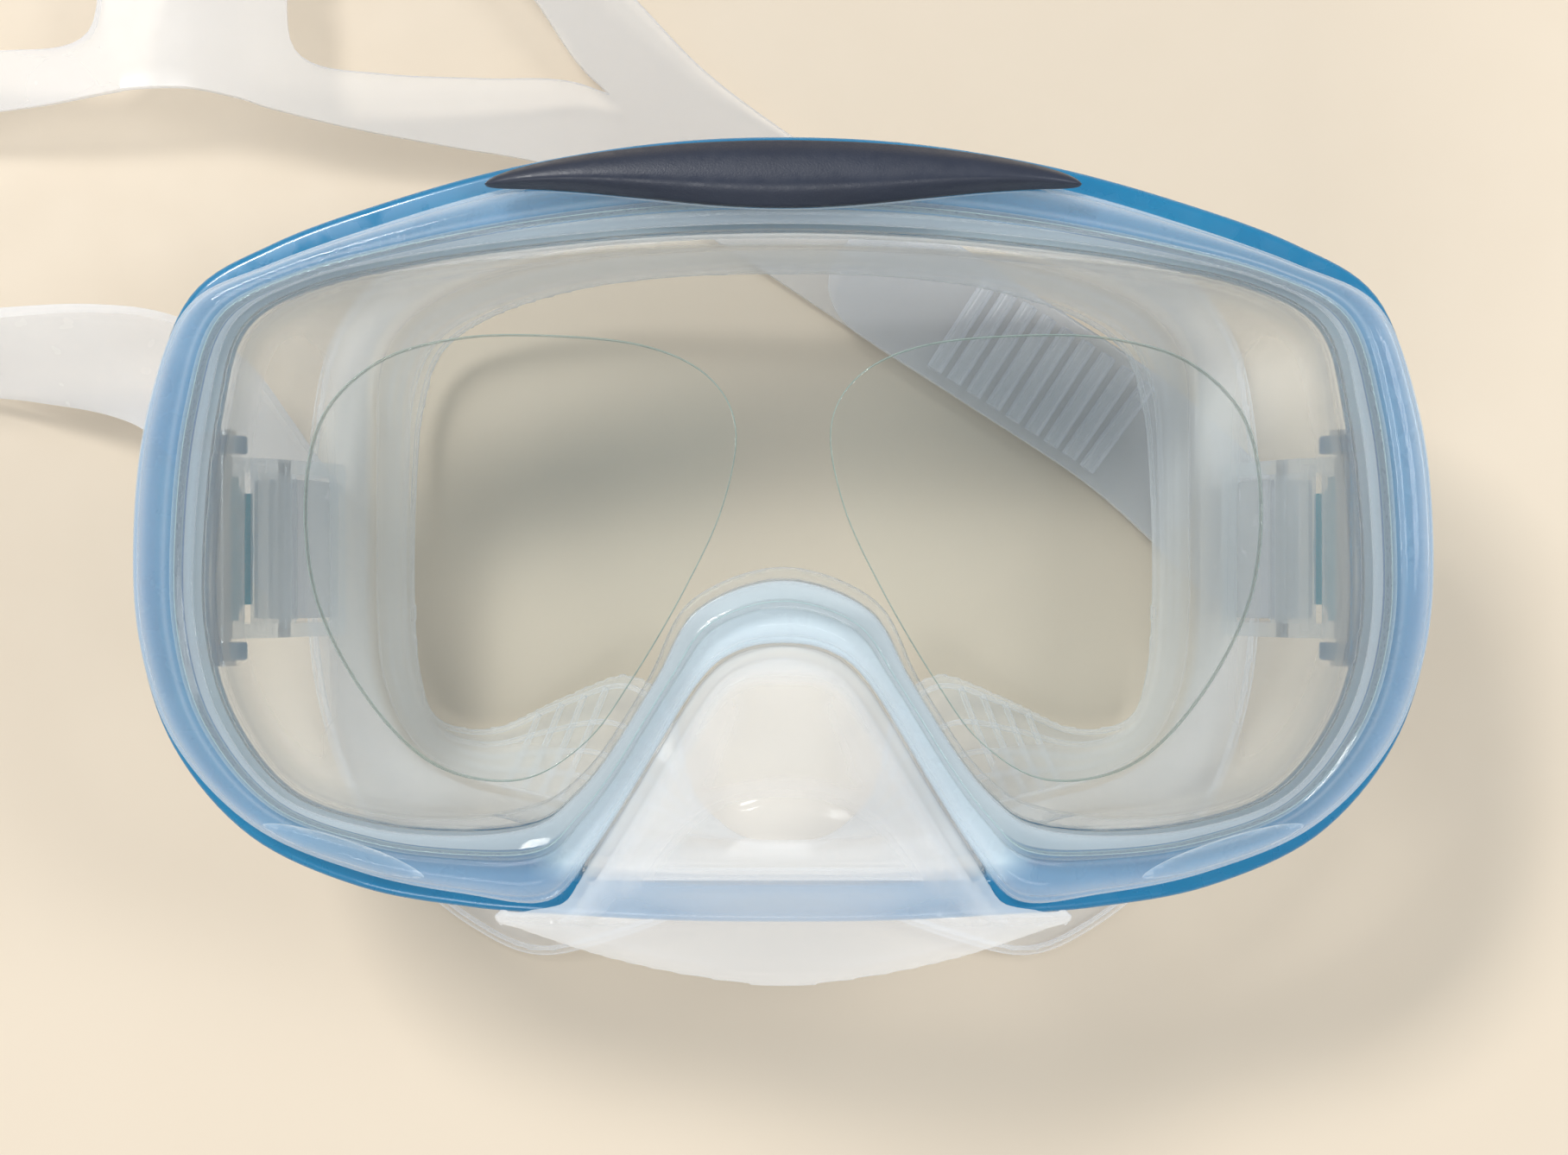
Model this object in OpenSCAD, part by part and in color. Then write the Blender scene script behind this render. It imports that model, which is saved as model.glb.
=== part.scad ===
// Snorkel mask: a clear bezel over a blue frame, a one-piece lens with a nose notch and two
// corrective lenses behind it, a silicone skirt with a nose pocket, and a split head strap on
// two swivel buckles. +Z points out of the lens and +Y points to the brow. The origin is the
// middle of the lens's front face. Left is -X and right is +X. The strap lies to the left.

/* [Mask] */
// Width over the frame
mask_w = 173; // [167:1:179]
// Height over the frame, from the bar under the nose to the brow
mask_h = 104.6; // [98:0.2:111]
// Distance from the front of the lens to the surface that the seal rests on
seal_depth = 64; // [62:0.5:70]
// Thickness of the main lens
lens_t = 4; // [3:0.1:4.2]
// Thickness of each corrective lens
corrective_t = 2.2; // [1.2:0.1:3]
// Wall of the silicone skirt
skirt_t = 1.6; // [1.2:0.1:1.8]

/* [Strap] */
// Width of the strap at the buckles
strap_w = 20; // [16:0.5:21]
// Thickness of the strap
strap_t = 2; // [1.6:0.1:2]
// Half width of the split pad behind the head
pad_half_w = 25; // [20:0.5:28]

/* [Buckles] */
// Angle that each buckle is folded in from straight back
fold_angle = 20; // [14:1:21]
// Height of the buckle's middle from the middle of the lens
buckle_y = -2; // [-4:0.5:0]
// Radius of the hinge pin
swing_pin_r = 1.5; // [1.2:0.1:1.6]
// Radius of the strap roller
roller_r = 2; // [1.8:0.1:2.1]
// Radial play of everything that turns on a pin
play = 0.05; // [0.03:0.01:0.08]

/* [Hidden] */
$fn = 48;

// The outlines below are drawn for a frame 173 wide and 104.6 high, and stretched to the size asked
ref_w = 173;
ref_h = 104.6;
ref_depth = 64;
side_shift = (mask_w - ref_w) / 2;
ring_steps = 3;
skirt_steps = 2;

// Levels of the stack behind the lens
gasket_t = 1.9;
gap = 0.1;
seat_z = -lens_t - gasket_t - gap;
flange_z = seat_z - 2;
frame_top_z = -3.2;
frame_bottom_z = -16;
roof_top_z = flange_z - 0.2;
roof_z = roof_top_z - skirt_t;

// Fractions of the way from the frame's opening to the bezel's outer edge
frame_lip_f = 0.12;
bezel_lip_f = 0.13;
lens_f = 0.42;
bezel_wall_f = 0.47;
seat_f = 0.5;
hollow_f = 0.6;
gasket_in_f = -0.07;
neck_f = 0.08;
gasket_out_f = 0.38;
skirt_top_f = 0.02;

// Half outlines, from the brow round the right side to the nose
opening_half = [
    [0, 39], [17, 38.5], [33.3, 37.2], [48, 35.5], [62, 32.6], [71.2, 27], [74.2, 16],
    [75.8, 2], [76, -12], [73, -24], [65.5, -34], [54, -38], [42, -38.8], [33, -37.3],
    [28.6, -34.6], [24, -29.6], [17.6, -19.5], [12, -9.6], [0, -5.3]
];
bezel_half = [
    [0, 49.5], [17.5, 48.6], [36, 45.5], [53, 40.6], [68, 35.2], [78.6, 29.8], [83.8, 17],
    [85.8, 2], [85.2, -14], [80.4, -28], [69.9, -39.1], [55.5, -45.2], [42, -48], [31, -48.9],
    [25.2, -42.3], [20, -34.2], [11.6, -20.5], [6.4, -16], [0, -14.8]
];
frame_half = [
    [0, 52.6], [17.5, 51.7], [36, 48.6], [53, 43.9], [68, 38.4], [79, 31.4], [84.4, 17], [86.5, 2],
    [85.9, -14], [81.2, -28.7], [71, -40.6], [56.5, -47.3], [42, -50], [30, -51], [15, -51.8], [0, -52]
];
// The frame's hollow back follows the rails down the sides, then the inner face of the bar
hollow_rail_stations = 12;
bar_inner_half = [[28.5, -45.6], [14, -46.8], [0, -47]];
// Opening for the nose pocket in the frame, and the pocket's outer and inner walls in it
nose_gap_half = [
    [0, -14.8], [6.4, -16], [11.6, -20.5], [20, -34.2], [25.2, -42.3], [27, -45.4], [26, -46.9],
    [14, -47], [0, -47]
];
nose_outer_half = [
    [0, -15.2], [6.2, -16.4], [11.2, -20.8], [19.6, -34.4], [24.8, -42.5], [26.3, -45.2],
    [25.4, -46.4], [14, -46.5], [0, -46.5]
];
nose_inner_half = [
    [0, -17], [5.3, -18], [9.8, -21.7], [18.1, -35.4], [22.6, -42.6], [23.6, -44.2],
    [22.8, -44.7], [13, -44.8], [0, -44.8]
];
// Back half of the skirt where it passes under the nose, from the cheek to the middle
under_nose_half = [[33, -41.3], [26, -44.6], [12, -45.4], [0, -45.6]];
skirt_rail_stations = 13;
// Flat roof round the nose pocket, from under the lens's notch to the bar and the cheek
roof_half = [
    [0, -3], [14, -5], [30, -30], [42, -36], [39, -40], [33, -42], [25.5, -45.4], [12, -46.2],
    [0, -46.4]
];
// Narrowest ring of the skirt
waist_half = [
    [0, 41.5], [17, 41.3], [33, 40], [46, 37], [55, 32.5], [59.5, 25.5], [60, 15], [60, 2],
    [60, -11], [59, -22], [54.5, -31], [47, -35.5], [39, -37.5], [31, -39.5], [22, -42.5],
    [11, -44.5], [0, -45]
];
// Edge of the outer seal, which the forehead arches away from
outer_seal_half = [
    [0, 54, -47], [18, 53.5, -48.5], [35, 51.5, -51.5], [50, 47, -55], [62, 40, -57.5],
    [69.5, 30, -58.5], [72.5, 16, -58.5], [73, 2, -58.5], [73, -12, -58.8], [71.5, -26, -60.5],
    [67, -40, -62.5], [58.5, -52, -63.1], [48, -60.5, -63.1], [38, -64.5, -62.8],
    [26, -61.5, -60], [12.5, -56.5, -57], [0, -54.5, -55.5]
];
// Edge of the inner seal, which rises over the cheeks and closes in beside the nose
inner_seal_half = [
    [0, 39.5, -46], [16, 39.2, -47.5], [31, 37.6, -50.5], [44, 34, -54], [52.5, 28.5, -57],
    [55.5, 20, -58], [56.5, 11, -58.2], [57, 0, -58.2], [57, -11, -58.5], [56.5, -20.5, -60],
    [54, -28, -61.5], [45, -29.5, -62], [34, -24.5, -61.5], [23.5, -21, -58], [16.5, -27, -54],
    [13, -40, -51], [0, -49, -50]
];
waist_level = 0.63;
// Shape of the wall from its top to the waist, and from the waist to the outer seal:
// how far across, and how far down
upper_wall = [[0, 0], [0.1, 0.18], [0.45, 0.38], [0.8, 0.62], [0.98, 0.86]];
lower_wall = [[0.06, 0.2], [0.3, 0.58], [0.66, 0.88], [1, 1]];
inner_lip = [[0, 0], [0.15, 0.45], [0.5, 0.85], [1, 1]];
inner_lip_t = 1.2;

// Nose pocket from the bridge to the lower edge of its lip:
// [position, half width, level of the edge, level of the middle]
pocket_rows = [
    [-15.1, 0.8, -3, -1], [-15.9, 4.5, -3, 2], [-17.5, 8, -3, 5.5], [-20.3, 11, -3, 9],
    [-24.5, 13.8, -3, 12.4], [-29, 16.5, -3, 15.6], [-33, 18.8, -3, 18.2], [-37, 21.2, -3, 18.6],
    [-41, 23.7, -3, 17.4], [-44.5, 26, -2.9, 15.2], [-47.3, 27.8, -2.2, 12.8],
    [-48.9, 29.2, -0.6, 11.2], [-49.7, 33.5, 0.3, 10.4], [-50.4, 38.3, 0.5, 9.7],
    [-51.6, 36.5, 0.5, 8.5], [-53.6, 31, 0.5, 6.7], [-56, 23.5, 0.6, 4.7], [-58.2, 14, 0.7, 3],
    [-59.5, 5.5, 0.8, 1.9], [-59.8, 0.8, 0.9, 1.3]
];
pocket_across = 7;
pocket_t = 1.7;
pocket_wall_top = 14;

// Corrective lens of the right eye
corrective_points = [
    [32.6, 26.3], [19, 25], [10.2, 21], [6.3, 14], [8, 3.5], [13, -7.5], [20, -19.5],
    [26.4, -28.2], [35.2, -33.2], [46.3, -31.3], [55.3, -22.7], [62.2, -9.7], [63.9, 4],
    [61.6, 15.3], [54.2, 22.7], [44, 25.8]
];

// Section of the bezel: fraction across, level
bezel_section = [
    [bezel_wall_f, gap], [bezel_wall_f, frame_top_z], [1, frame_top_z], [1, -2], [0.97, -0.9],
    [0.88, 0.8], [0.74, 2.4], [0.6, 3.1], [0.42, 3], [0.24, 2.2], [bezel_lip_f, 1],
    [bezel_lip_f, gap]
];

// Brow trim
trim_half = 39;
trim_end_y = 45.3;
trim_low_y = 42.3;
trim_rise = 5.7;
trim_floor_z = 0.2;
trim_side_z = 2.2;
trim_ridge_z = 4.8;
trim_steps = 8;
trim_play = 0.3;

// Buckle, measured from its hinge pin: down the body, and outward
pin_x = 78.5 + side_shift;
pin_z = -19.5;
plate_t = 2;
strap_side_play = 0.6;
plate_in_y = strap_w / 2 + strap_side_play;
plate_out_y = plate_in_y + plate_t;
lug_in_y = plate_out_y + 0.5;
lug_t = 2.5;
lug_out_y = lug_in_y + lug_t;
lug_r = 3.8;
lug_web = [[82.5, -18.5], [84, -15.5], [84, -9], [80.6, -9], [77.6, -13], [75.2, -17.7], [78.5, -21]];
pin_head_t = 0.8;
pin_head_r = 2.3;
knuckle_r = 3.4;
roller_drop = 17;
axle_r = 0.9;
lever_drop = 9;
lever_out = 4.6;
lever_pin_r = 0.8;
lever_knuckle_r = 1.7;
lever_boss_r = 1.5;
lever_tab_out = 6.4;
lever_tab_t = 1.6;
lever_tab_half = 11;
guide_bar_drop = 25;
guide_bar_out = 4.2;
guide_bar_r = 1.2;
loop_r = roller_r + 0.3 + strap_t / 2;
loop_end_drop = 28.5;
// Centre line of the strap's outer layer in the buckle, [outward, down], from the end to the roller
loop_leg = [[1.2, loop_end_drop], [1.7, 25], [2.8, 21]];

// Route of the strap's centre line from the right buckle to the left one: under the seal, over to
// the split pad, and back on its edge. [x, y, z, width direction, half width, opening]
// A half width of 1 is half the strap's width, and 2.5 is the pad's. The opening is a fraction.
rear_stations = [
    [69.3, -2, -48.1, 0, 1, 0, 1, 0], [70.4, -2, -50.6, 0, 1, 0, 1, 0],
    [73.2, -2, -53.2, 0, 1, 0, 1, 0], [76.9, -2, -55.9, 0, 1, 0, 1, 0],
    [79.2, -2, -59.2, 0, 1, 0, 1, 0], [78.6, -2, -61.8, 0, 1, 0, 1, 0],
    [75.6, -1.9, -62.85, 0.06, 1, 0, 1, 0], [70.6, 0.8, -62.94, 0.38, 0.92, 0, 1, 0],
    [64, 7.6, -62.94, 0.6, 0.8, 0, 1, 0], [52, 17.8, -62.94, 0.56, 0.83, 0, 1, 0],
    [33, 30.3, -62.94, 0.543, 0.84, 0, 1, 0], [14, 42.6, -62.94, 0.543, 0.84, 0, 1, 0],
    [-4, 54.3, -62.2, 0.543, 0.84, 0, 1, 0],
    [-18, 63.2, -60.3, 0.53, 0.85, 0, 1.1, 0], [-30, 70.5, -58, 0.5, 0.87, 0, 1.45, 0.05],
    [-42, 77, -55.8, 0.44, 0.9, 0, 1.9, 0.38], [-56, 83.5, -53.4, 0.35, 0.94, 0, 2.3, 0.6],
    [-69, 88.6, -51.5, 0.24, 0.97, 0, 2.5, 0.62], [-77, 91, -50.6, 0.16, 0.99, 0, 2.5, 0],
    [-88, 93, -50, 0.05, 1, 0, 2.5, 0], [-100, 93, -50.2, -0.08, 1, 0, 2.5, 0],
    [-109, 91.6, -50.7, -0.22, 0.97, 0, 2.5, 0.62], [-123, 87, -52, -0.4, 0.91, 0.05, 2.3, 0.6],
    [-135.5, 80.5, -53, -0.56, 0.81, 0.12, 1.9, 0.38], [-145, 72.5, -53.5, -0.68, 0.67, 0.3, 1.45, 0.05],
    [-151.5, 63, -53.6, -0.64, 0.42, 0.64, 1.1, 0], [-154.5, 52, -53.6, -0.3, 0.1, 0.95, 1, 0],
    [-152, 40.5, -53.5, 0, 0.05, 1, 1, 0], [-143, 31.5, -53, 0, 0.22, 0.97, 1, 0],
    [-130, 28, -51.6, 0, 0.42, 0.91, 1, 0], [-116, 27.4, -49.6, 0.02, 0.56, 0.83, 1, 0],
    [-103, 26.6, -48, 0.1, 0.7, 0.7, 1, 0], [-93.5, 24.4, -47.6, 0.32, 0.78, 0.54, 1, 0],
    [-87, 19.6, -48.2, 0.62, 0.66, 0.42, 1, 0], [-82.3, 13, -49.6, 0.78, 0.5, 0.38, 1, 0],
    [-78.4, 6.4, -51.3, 0.72, 0.62, 0.3, 1, 0], [-74.8, 1.2, -52.5, 0.4, 0.9, 0.14, 1, 0],
    [-71.2, -1.5, -51.2, 0.08, 1, 0, 1, 0], [-69.3, -2, -48.1, 0, 1, 0, 1, 0]
];
// Route of the free tail, which lies on the strap from the right buckle on
tail_stations = [
    [66.8, -2, -47.3, 0, 1, 0, 1, 0], [68.4, -2, -51.6, 0, 1, 0, 1, 0],
    [71.6, -2, -54.9, 0, 1, 0, 1, 0], [75.2, -2, -57.4, 0, 1, 0, 1, 0],
    [76.3, -2, -59.1, 0, 1, 0, 1, 0], [75.4, -2, -60.3, 0, 1, 0, 1, 0],
    [73.4, -1.6, -60.45, 0.12, 1, 0, 1, 0], [69.6, 1.2, -60.5, 0.4, 0.92, 0, 1, 0],
    [63.6, 7.4, -60.6, 0.6, 0.8, 0, 1, 0], [52, 17.4, -60.6, 0.56, 0.83, 0, 1, 0],
    [33, 29.9, -60.6, 0.543, 0.84, 0, 1, 0], [19, 38.9, -60.6, 0.543, 0.84, 0, 1, 0],
    [14, 42.2, -60.6, 0.543, 0.84, 0, 0.94, 0], [10.6, 44.4, -60.6, 0.543, 0.84, 0, 0.66, 0],
    [9.4, 45.2, -60.6, 0.543, 0.84, 0, 0.3, 0]
];
strap_steps = 3;

clear = [0.86, 0.92, 0.95, 0.45];
blue = [0.03, 0.36, 0.6, 0.75];
navy = [0.07, 0.09, 0.16];
silicone = [0.86, 0.89, 0.9, 0.6];
steel = [0.75, 0.76, 0.78];

// Smooth curve from b to c, with a before and d after them
function curve_point(a, b, c, d, t) =
    0.5 * (2 * b + (c - a) * t + (2 * a - 5 * b + 4 * c - d) * pow(t, 2)
        + (3 * b - a - 3 * c + d) * pow(t, 3));
function closed_curve(p, steps) = let (n = len(p))
    [for (i = [0 : n - 1]) for (s = [0 : steps - 1])
        curve_point(p[(i + n - 1) % n], p[i], p[(i + 1) % n], p[(i + 2) % n], s / steps)];
function open_curve(p, steps) = let (n = len(p))
    concat([for (i = [0 : n - 2]) for (s = [0 : steps - 1])
        curve_point(p[max(i - 1, 0)], p[i], p[i + 1], p[min(i + 2, n - 1)], s / steps)], [p[n - 1]]);
function unit(v) = v / norm(v);
function blend(a, b, f) = a * (1 - f) + b * f;
function blended(a, b, f) = [for (i = [0 : len(a) - 1]) blend(a[i], b[i], f)];
function first(p, count) = [for (i = [0 : count - 1]) p[i]];

// A half outline stretched to the mask's size, then closed by its mirror image
function stretched(p) = [for (q = p) [q.x * mask_w / ref_w, q.y * mask_h / ref_h]];
function whole(half) = concat(half, [for (i = [len(half) - 2 : -1 : 1])
    [for (k = [0 : len(half[i]) - 1]) k == 0 ? -half[i].x : half[i][k]]]);
function outline(half, steps = ring_steps) = closed_curve(whole(stretched(half)), steps);
function rail_half(f) = blended(opening_half, bezel_half, f);
function rail(f, steps = ring_steps) = outline(rail_half(f), steps);

// A level below the middle of the skirt follows the seal's depth
stretch_from_z = -50;
function deep(z) = z > stretch_from_z ? z
    : stretch_from_z + (z - stretch_from_z) * (seal_depth + stretch_from_z) / (ref_depth + stretch_from_z);

module prism(points, z0, z1)
    translate([0, 0, z0]) linear_extrude(z1 - z0) polygon(points);

// Solid through closed sections, joined last to first when it is a ring, else capped
module loft(rows, ring = false) {
    n = len(rows);
    m = len(rows[0]);
    sides = [for (i = [0 : n - (ring ? 1 : 2)]) for (j = [0 : m - 1])
        let (a = i * m + j, b = i * m + (j + 1) % m, next = (i + 1) % n * m,
            c = next + (j + 1) % m, d = next + j)
        each [[a, c, b], [a, d, c]]];
    end = (n - 1) * m;
    caps = ring ? [] : [for (j = [1 : m - 2]) each [[0, j, j + 1], [end, end + j + 1, end + j]]];
    polyhedron([for (r = rows) each r], concat(sides, caps));
}

// Unit normals of a grid of points, whose rows close on themselves when it is a ring
function grid_normals(g, ring) = let (n = len(g), m = len(g[0]))
    [for (i = [0 : n - 1]) [for (j = [0 : m - 1]) let (
        before = g[ring ? (i + n - 1) % n : max(i - 1, 0)][j],
        after = g[ring ? (i + 1) % n : min(i + 1, n - 1)][j])
        unit(cross(after - before, g[i][min(j + 1, m - 1)] - g[i][max(j - 1, 0)]))]];

// Sheet of even thickness centred on a ring-shaped grid
module ring_sheet(g, t) {
    normals = grid_normals(g, true);
    m = len(g[0]);
    loft([for (i = [0 : len(g) - 1]) concat(
        [for (j = [0 : m - 1]) g[i][j] - normals[i][j] * t / 2],
        [for (j = [m - 1 : -1 : 0]) g[i][j] + normals[i][j] * t / 2])], true);
}

// ---- Frame, lens and bezel ----

hollow_half = concat(first(rail_half(hollow_f), hollow_rail_stations), bar_inner_half);

// Ear that holds one end of a hinge pin, from y0 up
module lug(y0) translate([0, y0 + lug_t, 0]) rotate([90, 0, 0]) linear_extrude(lug_t) {
    polygon([for (q = lug_web) [q.x + side_shift, q.y]]);
    translate([pin_x, pin_z]) circle(lug_r);
}

module frame() color(blue) difference() {
    union() {
        difference() {
            union() {
                prism(outline(frame_half), frame_bottom_z + 2, frame_top_z);
                prism([for (q = outline(frame_half)) q * 0.985], frame_bottom_z, frame_bottom_z + 2);
            }
            prism(rail(frame_lip_f), frame_bottom_z - 1, 0);
            prism(rail(seat_f), seat_z, 0);
            prism(outline(hollow_half), frame_bottom_z - 1, flange_z);
            prism(outline(nose_gap_half), frame_bottom_z - 1, 0);
        }
        for (side = [0, 1]) mirror([side, 0, 0]) {
            lug(buckle_y + lug_in_y);
            lug(buckle_y - lug_out_y);
        }
    }
    for (side = [-1, 1]) translate([side * pin_x, buckle_y, pin_z]) rotate([90, 0, 0])
        cylinder(h = 3 * lug_out_y, r = swing_pin_r, center = true);
}

module lens() color([0.8, 0.9, 0.92, 0.3])
    prism(rail(lens_f), -lens_t, 0);

module corrective(side) color([0.8, 0.93, 0.9, 0.35])
    prism([for (q = closed_curve(stretched(corrective_points), ring_steps)) [side * q.x, q.y]],
        -lens_t - corrective_t, -lens_t);
module corrective_lens_left() corrective(-1);
module corrective_lens_right() corrective(1);

function trim_low(x) = trim_low_y + (trim_end_y - trim_low_y) * (1 - cos(180 * x / trim_half)) / 2;
function trim_high(x) = trim_end_y + trim_rise * pow(max(0, 1 - pow(x / trim_half, 2)), 0.8);
function trim_stations() = [for (k = [-trim_steps : trim_steps]) trim_half * sin(90 * k / trim_steps)];
// Leaf outline of the trim, grown by a clearance
function trim_outline(grow) = let (xs = trim_stations(), n = len(xs)) stretched(concat(
    [for (x = xs) [x * (1 + grow / trim_half), trim_high(x) + grow]],
    [for (i = [n - 1 : -1 : 0]) [xs[i] * (1 + grow / trim_half), trim_low(xs[i]) - grow]]));

module brow_trim() color(navy) {
    xs = trim_stations();
    scale([mask_w / ref_w, mask_h / ref_h, 1]) loft([for (x = xs) let (
        low = trim_low(x), high = max(trim_high(x), low + 0.3),
        lift = sqrt(1 - pow(min(abs(x) / (trim_half + 0.5), 1), 4)),
        ridge = blend(low, high, 0.42),
        side_z = trim_floor_z + (trim_side_z - trim_floor_z) * lift + 0.3,
        ridge_z = trim_floor_z + (trim_ridge_z - trim_floor_z) * lift + 0.3)
        [[x, high, trim_floor_z], [x, high, side_z],
         [x, blend(ridge, high, 0.6), blend(side_z, ridge_z, 0.7)], [x, ridge, ridge_z],
         [x, blend(low, ridge, 0.5), blend(side_z, ridge_z, 0.8)], [x, low, side_z],
         [x, low, trim_floor_z]]]);
}

module bezel() color(clear) resize([0, 0, 0]) difference() {
    rails = [for (q = bezel_section) rail(q[0])];
    loft([for (i = [0 : len(rails[0]) - 1]) [for (j = [0 : len(bezel_section) - 1])
        [rails[j][i].x, rails[j][i].y, bezel_section[j][1]]]], true);
    prism(trim_outline(trim_play), trim_floor_z, trim_ridge_z + 1);
}

// ---- Skirt ----

function skirt_top_half() = concat(first(rail_half(skirt_top_f), skirt_rail_stations), under_nose_half);
function level(p, z) = [p.x, p.y, z];
function seal_edge(half) = [for (q = half)
    [q.x * mask_w / ref_w, q.y * mask_h / ref_h, deep(q.z)]];

// Sections of the wall, station by station, from its top to the edge of the outer seal
function wall_grid() = let (
    top = stretched(skirt_top_half()), waist = stretched(waist_half), tip = seal_edge(outer_seal_half),
    half = [for (i = [0 : len(top) - 1]) let (
        waist_z = tip[i].z * waist_level, high = level(top[i], roof_z + 0.8),
        mid = level(waist[i], waist_z)) concat(
        [for (q = upper_wall) level(blend(high, mid, q[0]), blend(high.z, mid.z, q[1]))],
        [for (q = lower_wall) level(blend(mid, tip[i], q[0]), blend(mid.z, tip[i].z, q[1]))])],
    n = len(half))
    closed_curve(concat(half, [for (i = [n - 2 : -1 : 1]) [for (q = half[i]) [-q.x, q.y, q.z]]]),
        skirt_steps);

// Sections of the inner seal, from where it leaves the wall to its edge
function inner_lip_grid() = let (
    wall = wall_grid(), root_row = len(upper_wall),
    tip = closed_curve(whole(seal_edge(inner_seal_half)), skirt_steps))
    [for (i = [0 : len(wall) - 1]) let (root = wall[i][root_row])
        [for (q = inner_lip) level(blend(root, tip[i], q[0]), blend(root.z, tip[i].z, q[1]))]];

// Gasket round the lens's edge, and the neck that passes through the frame
module gasket() {
    section = [
        [gasket_out_f, -lens_t], [gasket_in_f, -lens_t], [gasket_in_f, roof_z], [neck_f, roof_z],
        [neck_f, seat_z], [gasket_out_f, seat_z]
    ];
    rails = [for (q = section) rail(q[0], skirt_steps)];
    loft([for (i = [0 : len(rails[0]) - 1]) [for (j = [0 : len(section) - 1])
        [rails[j][i].x, rails[j][i].y, section[j][1]]]], true);
}

// Roof between the lens's notch and the nose pocket
module nose_roof() difference() {
    prism(whole(stretched(roof_half)), roof_z + 0.1, roof_top_z);
    prism(rail(0, skirt_steps), roof_z - 1, roof_top_z + 1);
    prism(outline(nose_inner_half), roof_z - 1, roof_top_z + 1);
}

// Level of the pocket's surface at a fraction across its half width
function pocket_arch(row, s) = row[2] + (row[3] - row[2]) * pow(max(0, 1 - pow(abs(s), 2.6)), 0.62);
function pocket_grid() = [for (row = pocket_rows) [for (k = [-pocket_across : pocket_across])
    let (s = sin(90 * k / pocket_across))
    [row[1] * s * mask_w / ref_w, row[0] * mask_h / ref_h, pocket_arch(row, s)]]];
function flat(grid) = [for (row = grid) each row];

// Solid between an upper and a lower grid of the same size
module grid_solid(upper, lower) {
    n = len(upper);
    m = len(upper[0]);
    all = n * m;
    surface = [for (i = [0 : n - 2]) for (j = [0 : m - 2])
        let (a = i * m + j, b = a + 1, c = a + m + 1, d = a + m)
        each [[a, b, c], [a, c, d], [all + a, all + c, all + b], [all + a, all + d, all + c]]];
    edge = concat([for (j = [0 : m - 1]) j], [for (i = [1 : n - 1]) i * m + m - 1],
        [for (j = [m - 2 : -1 : 0]) (n - 1) * m + j], [for (i = [n - 2 : -1 : 1]) i * m]);
    rim = [for (k = [0 : len(edge) - 1]) let (a = edge[k], b = edge[(k + 1) % len(edge)])
        each [[a, all + b, b], [a, all + a, all + b]]];
    polyhedron(concat(flat(upper), flat(lower)), concat(surface, rim));
}

module nose_pocket() {
    outer = pocket_grid();
    normals = grid_normals(outer, false);
    inner = [for (i = [0 : len(outer) - 1]) [for (j = [0 : len(outer[0]) - 1])
        outer[i][j] + normals[i][j] * pocket_t * (normals[i][j].z > 0 ? -1 : 1)]];
    grid_solid(outer, inner);
    intersection() {
        difference() {
            prism(outline(nose_outer_half, skirt_steps), roof_z, pocket_wall_top);
            prism(outline(nose_inner_half, skirt_steps), roof_z - 1, pocket_wall_top + 1);
        }
        grid_solid([for (row = outer) [for (q = row) q - [0, 0, 0.4]]],
            [for (row = outer) [for (q = row) level(q, roof_z)]]);
    }
    difference() {
        prism(outline(nose_outer_half, skirt_steps), roof_z, frame_top_z);
        prism(outline(nose_inner_half, skirt_steps), roof_z - 1, 0);
    }
}

module skirt() color(silicone) resize([0, 0, 0]) union() {
    gasket();
    nose_roof();
    nose_pocket();
    ring_sheet(wall_grid(), skirt_t);
    ring_sheet(inner_lip_grid(), inner_lip_t);
}

// ---- Buckles ----

// Places a buckle's piece: +X is outward, -Z is down the buckle, and the hinge pin is along Y
module hung(side) mirror([side < 0 ? 1 : 0, 0, 0])
    translate([pin_x, buckle_y, pin_z]) rotate([0, fold_angle, 0]) children();

// Bar along Y, centred on the buckle, at a place given as [outward, down]
module cross_bar(place, r, half_length) translate([place[0], 0, -place[1]])
    rotate([90, 0, 0]) cylinder(h = 2 * half_length, r = r, center = true);

// Plate standing along Y from y0 to y1, outlined as [outward, down]
module upright(points, y0, y1) translate([0, y1, 0]) rotate([90, 0, 0])
    linear_extrude(y1 - y0) polygon([for (q = points) [q[0], -q[1]]]);

module buckle_body(side) color(clear) hung(side) difference() {
    cheek = [
        [-3.2, 0.8], [-5, 4], [-5.4, 8], [-5.4, 24.5], [-4.6, 26.6], [-3.4, 27.2], [3.4, 27.2],
        [4.6, 26.6], [5.4, 24.5], [5.4, 6], [3.3, 0.8]
    ];
    union() {
        cross_bar([0, 0], knuckle_r, plate_out_y);
        for (flip = [0, 1]) mirror([0, flip, 0]) {
            upright(cheek, plate_in_y, plate_out_y);
            translate([lever_out, plate_out_y, -lever_drop]) rotate([90, 0, 0])
                cylinder(h = plate_t, r = lever_boss_r);
        }
        upright([[-4.9, 2], [-3.7, 2], [-3.7, 11], [-4.9, 11]], -plate_in_y - 1, plate_in_y + 1);
        for (out = [-1, 1]) cross_bar([out * guide_bar_out, guide_bar_drop], guide_bar_r, plate_in_y + 1);
    }
    cross_bar([0, 0], swing_pin_r + play, 2 * plate_out_y);
    cross_bar([0, roller_drop], axle_r, 2 * plate_out_y);
    cross_bar([lever_out, lever_drop], lever_pin_r, 2 * plate_out_y);
}
module buckle_body_left() buckle_body(-1);
module buckle_body_right() buckle_body(1);

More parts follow.
